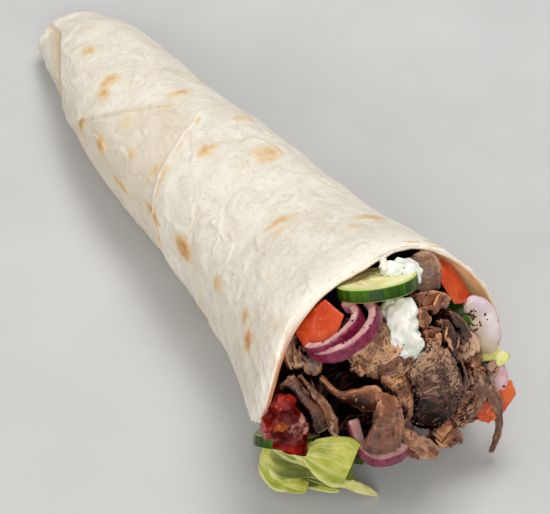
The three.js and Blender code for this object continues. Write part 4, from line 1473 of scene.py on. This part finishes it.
# A dark strip under the curled leaf, painted as the shade there.
leaf_strip(
    "lettuce_shadow_strip", "lettuce_curl", [(3.8, -3, 7), (2.6, -3.2, 1), (3.4, -3, -5), (6.5, -3.5, -10)],
    [1.4, 2.4, 3, 2], 1.2, 37, hollow=1)
leaf(
    "lettuce_ruffle", "lettuce_under",
    [(-3, 8.5, 6), (-4.5, 5, 9.5), (-2.5, 1.5, 9), (1.5, -1, 9), (6, -5, 6.5), (11, -8.5, 3)],
    [(-5.5, 9, -1), (-10, 5.5, -3.5), (-8.5, 0.5, -4.7), (-4.5, -4, -4.7), (1, -6.5, -4.5),
     (10, -10.5, -4.5)], 33, 4, 0.25, ruffle=3.6, shade=1.0)
leaf(
    "lettuce_lobe", "lettuce_under", [(-2.4, 6.3, 4.8), (-5, 1.3, 3), (-2.8, -2.9, 0.6), (1, -6.6, -0.6)],
    [(-3.6, 9.8, -1.6), (-10.1, 3.3, -3.4), (-5.8, -3.7, -4), (-0.6, -7.7, -4)],
    35, 3, 0.2, bulge=2, ruffle=1.4, shade=0.1)
leaf_strip(
    "lettuce_sprig", "lettuce_right", [(-7, 2.5, 0.5), (-2, 0, 0.5), (2, -1.5, 0), (6, -2.5, 1)],
    [4, 5, 5.5, 4], 1.6, 34)
leaf_strip("lettuce_back", "lettuce_right", [(-1, 2, 0.5), (-1, 1, 4.5), (-0.5, 1, 8)], [7, 8.5, 8], 1.2, 36)

# Shaved meat. Each strip is a route and its widths. Each sheet is its routes, thickness, warmth and shade.
packed = meat_core()
slices = [
    meat(
        "meat_strip_hanging", 0.3, 41, [([
            (-2, 2.5, 14.5), (0.5, -0.5, 8.5), (1.5, -2, 1.5), (1.5, -2, -5.5), (0.5, -2, -11.5),
            (-1, -2.5, -14.5),
        ], [5.4, 4.4, 2.8, 2.5, 2.4, 1.7])], 2, wave=0.15, ragged=0.12, dark=(0, 0.3)),
    meat(
        "meat_fold", 1, 42, [
            ([(7, -5, 3.5), (7.5, -5.5, -4.5), (9.5, -2.5, -16.5)], [2.6, 3, 3]),
            ([(9, -3.5, 2), (9.5, -4, -6), (10, -2.5, -15)], [2.2, 2.6, 2]),
        ], 2.4, lumps=0.75, strength=0.5, dark=(-0.15, 0.3), sheets=[
            ([
                [(-13.5, 7.5, 19.5), (-10, 1.5, 16.5), (-7, 0, 17.5), (0.5, -1.5, 17), (2.5, -2.5, 15)],
                [(-13.5, 7.5, 17.8), (-11, 1, 14.8), (-8.5, -1, 13), (-5, -2.5, 9.5), (-1, -3.5, 7)],
            ], 2, 1.0, (0.1, -0.1, 1.1)),
            ([
                [(0.5, -2.5, 15.5), (5, -3, 12.5), (10, -2.5, 4)],
                [(-0.2, -6.4, 9), (3.4, -7.4, 6.5), (8.6, -5, 0.5)],
                [(-2, -4.4, -2), (2, -3.8, -4.5), (8.6, -3.8, -9)],
                [(-4, -3.2, -9.5), (0, -3.4, -15), (9, -2.5, -19)],
            ], 1.9, 0.6, (0.05, -0.25, 0.4)),
        ]),
    meat(
        "meat_drape", 0.45, 44, [
            ([(-10.5, 7.5, 13.5), (-4.5, 4.5, 13.5), (1.5, -0.5, 8.5), (3, -3.5, 1)], [12, 18, 18, 13]),
        ], 5, bend=-0.25, step=0.3, pitch=0.3, crumb=0.6, shreds=3, dark=(-0.55, -0.1, 0.3), lumps=1.4,
        sheets=[
            ([
                [(0, -1, 6), (-1.5, -5.5, 1.5), (3, -7.5, -7), (4.5, -8.5, -15.5)],
                [(4, -2, 4), (5, -5, 0), (7, -7.5, -8.5), (6, -8.5, -17.5)],
                [(6.5, 0, 0), (8.5, -1.5, -4), (8.5, -4.5, -10), (6.5, -6.5, -19)],
            ], 2.2, 0.9, (0, 0.25)),
        ]),
    meat(
        "meat_flap", 0.85, 45, lumps=0.8, strength=0.9, sheets=[
            ([
                [(-5, 2, 9.5), (-1, 1, 6.5), (3.5, 0, 1.5), (9, -1, -5.5)],
                [(-5.5, 0, 5), (-2, -1.5, -1), (3, -2, -7.5), (8, -1.5, -10.5)],
            ], 2.4, 0.6, (-0.3, -0.3, 0.3)),
            ([
                [(-6, 2.5, 5), (-3, 0.5, 1), (1, 0, -5)],
                [(-5.5, 1.5, 1), (-3, 0.5, -4), (2, 0, -9)],
            ], 2, 0.9, (0.3, 0.3)),
        ]),
    meat(
        "meat_slab_left", 0.2, 46, lumps=0.8, strength=0.6, crumb=0.3, shreds=8, shred_size=0.6,
        dark=(0.1, 0), sheets=[
            ([
                [(-7.5, 6.6, 8), (-5.8, 3, 3.5), (-2.5, -1, -2.5), (0.8, -4.4, -8.5)],
                [(-5.6, 5.6, 11), (-3.8, 1.8, 6.6), (-0.6, -2, 0.8), (2.6, -5.2, -6)],
                [(-3, 5.6, 12), (-0.6, 2.2, 8), (2.4, -1.4, 2), (5, -4.6, -5)],
            ], 3, 0.15, (-0.25, 0.45, 0.35)),
            ([
                [(-2.2, 4.6, 11.8), (-0.6, 0.8, 7.6), (1.8, -3, 1.6), (3.2, -5.8, -5.5), (4.2, -6.2, -9.5)],
                [(-1, 4.6, 12), (2, 0.4, 7.8), (5, -3.4, 1.5), (6.5, -6, -4.5), (6.6, -6.2, -9.5)],
            ], 2.4, 0.5, (-0.15, 0.3, -0.1)),
        ]),
    meat(
        "meat_finger_right", 0.4, 47, [([(-5.5, -0.5, -2), (0.5, 0.5, 0), (5.5, 1, 3)], [8, 9, 5])], 3.4,
        slot="dark_meat", dark=(-0.35, -0.5), shreds=3),
    meat(
        "meat_ridge", 0.4, 48, [
            ([(-1, 1.5, 13), (0, -0.5, 4), (0.5, 0, -5), (-0.5, 1.5, -13)], [4, 5.5, 5.5, 4]),
        ], 5, slot="dark_meat", dark=(0, 0.3), petals=2, shreds=4),
    meat(
        "meat_chunk", 0.15, 49, [
            ([(-4, 4, 19.5), (-1, 0, 10.5), (0.5, -1, -0.5), (1.5, 0, -11.5), (2.5, 2, -19.5)],
             [10, 17, 19, 17, 9]),
        ], 11, slot="dark_meat", crumb=1, dark=(-0.7, 0.95, 0.3), step=0.3, pitch=0.3),
    meat(
        "meat_cluster", 0.35, 50, [
            ([(-0.5, 3, 10), (2, 0.5, 2), (0, -1, -5), (-4.5, -1, -10)], [8, 10, 10, 7]),
        ], 6, petals=3, shreds=34, shred_size=0.6, dark=(0, 0.1)),
    meat("meat_tip", 0.9, 51, [([(-4, 1, 5.5), (0.5, -0.5, 0.5), (5, -1, -6.5)], [8, 9, 4])], 4, shreds=4),
    meat(
        "meat_curl_right", 0.5, 52, [([(-3.5, -1, 0.5), (0, 0, 0.5), (3.5, 1.5, -2)], [5, 6, 4])], 3,
        petals=2),
    meat(
        "meat_sliver_left", 0.5, 53, [([(0.5, 4, 4), (0, -0.5, 0), (0, -4, -4)], [5, 5, 6])], 3, petals=2,
        strength=1.6),
    meat(
        "meat_shred_left", 0.4, 54, [([(-1, 3.5, 3), (0, -0.5, 0.5), (-1.5, -3.5, -3)], [4.5, 5, 4])], 3,
        shreds=3),
    meat(
        "meat_shred_middle", 0.6, 55, lumps=0.6, strength=0.6, shreds=3, shred_size=0.6, sheets=[
            ([
                [(-2.3, 3.8, 12.2), (-3.5, 2.8, 9.1), (-3.5, 1.3, 6.6)],
                [(0.4, 3.8, 9.8), (1.6, 2.4, 6.5), (-0.3, 1.3, 4.9)],
            ], 2.6, 0.7, (0, -0.1)),
            ([
                [(-1.9, 0.8, 5.6), (-2.8, 0.3, 3.2), (-2.5, -0.7, -0.1)],
                [(2.6, 0.8, 3.6), (2.6, 0, 0), (1.4, -0.7, -4.2)],
            ], 2.4, 1.1, (-0.2, 0.5)),
        ]),
    meat(
        "meat_striped", 0.6, 56,
        [([(-3.6, -1.8, 8.3), (-4.4, -2.8, 5.7), (-5.3, -3.8, 2.1)], [2.4, 3, 2])], 2,
        shreds=6, shred_size=0.6, dark=(-0.3, -0.1), strength=0.7, crumb=0.2, sheets=[
            ([
                [(-2.1, 2.2, 9.3), (-2, 0, 5.9), (-2.4, -2, 2.0), (-2.5, -3.3, -2.3)],
                [(0, 2.3, 8.5), (1.5, -0.6, 4.5), (1.4, -2.8, 0.5), (0, -3.6, -4)],
                [(1.6, 2.7, 6.6), (4.1, 1.2, 2.0), (4.0, -0.8, -2.1), (2.2, -2.8, -5.4)],
            ], 3, 0.4, (0.3, 0.65)),
        ]),
    meat(
        "meat_slice_right", 0.2, 57, [
            ([(-1, 3.1, 4.5), (3.2, 1.6, -0.2), (4.6, -0.4, -2.8), (3.9, -2.4, -4.9)], [2.4, 3.4, 3.6, 2.5]),
            ([(-1.5, 2.5, 1.5), (1.6, 0.8, -2), (2.3, -1.2, -3.8), (1.2, -3.0, -5)], [2.8, 3.6, 3.6, 2.6]),
            ([(-2, 2, -1), (-0.2, 0.4, -3), (-0.6, -1.6, -4), (-2.8, -3, -3.2)], [3, 3.4, 3.4, 2.4]),
        ], 2.6, shreds=4, shred_size=0.5, dark=(-0.6, -0.45), strength=0.9, lumps=0.5),
    meat(
        "meat_edge_right", 0.3, 58, [([(-3, 1.5, 4.5), (0.5, -1, -1.5), (3.5, -3, -7)], [4, 5.5, 4])], 4,
        slot="dark_meat", dark=(0.2, 0.2), petals=2),
    meat(
        "meat_shred_top", 0.8, 59, [
            ([(-8, 0.5, 1.5), (-3.5, -1, 3.5), (2, -1, 2), (8, 1, -4)], [4, 5.5, 5, 4]),
        ], 3, shreds=5, bend=0.2),
    meat(
        "meat_slice_grey", 0, 60, [
            ([(1.5, 6, 4.5), (1, 2.5, 2.5), (0, -1, -1), (-2.5, -5, -4.5)], [7, 9, 9, 6]),
        ], 3, lumps=0.4, strength=0.6, dark=(-0.25, 0.3), crumb=0.3),
]
# Painted shade in the crevices of the meat.
paint_crevice_shade(slices + [packed], slices + [packed, spread] + onions + sauces + tomatoes)

# Crumbs and flecks. Each crumb's masks are drawn between two limits.
CRUMB_MASKS = {
    "high": (0.1, 0.6), "warm": (0, 0.9), "dark": (-0.15, 0.25), "edge": (0, 0), "fibre": (0.5, 1),
    "crumb": (0, 1), "u": (0, 9), "v": (0, 99),
}
CRUMBLY = ("meat_drape", "meat_chunk", "meat_cluster", "meat_striped")
bits("meat_crumbs", *scattered(slices, 360), (0.25, 0.55), (1.2, 3.2), 0.7, MEAT, "meat", CRUMB_MASKS, 1)
crumbly = [thing for thing in slices if thing.name.removesuffix("_slices") in CRUMBLY]
grain_places = scattered(crumbly, 440)
bits("meat_grains", *grain_places, (0.22, 0.5), (1, 2.4), 0.8, DARK_MEAT, "dark_meat", CRUMB_MASKS, 1)
loose = scattered(onions, 64)
crowded = scattered([petal], 80, placed("onion_right_top", (-4.6, -4.6, 5.5)), 4.5)
fleck_places = [np.concatenate(pair) for pair in zip(loose, crowded)]
sumac = fleck_material("sumac", (52, 14, 14), (96, 34, 26))
bits("sumac_flecks", *fleck_places, (0.14, 0.5), (1, 1.8), 0.4, sumac, "dark_meat", {}, 2)
herbs = fleck_material("herbs", (148, 154, 126), (190, 194, 168))
bits("herb_flecks", *scattered(sauces, 22), (0.16, 0.4), (1, 1.8), 0.25, herbs, "lettuce", {}, 2)
floor()
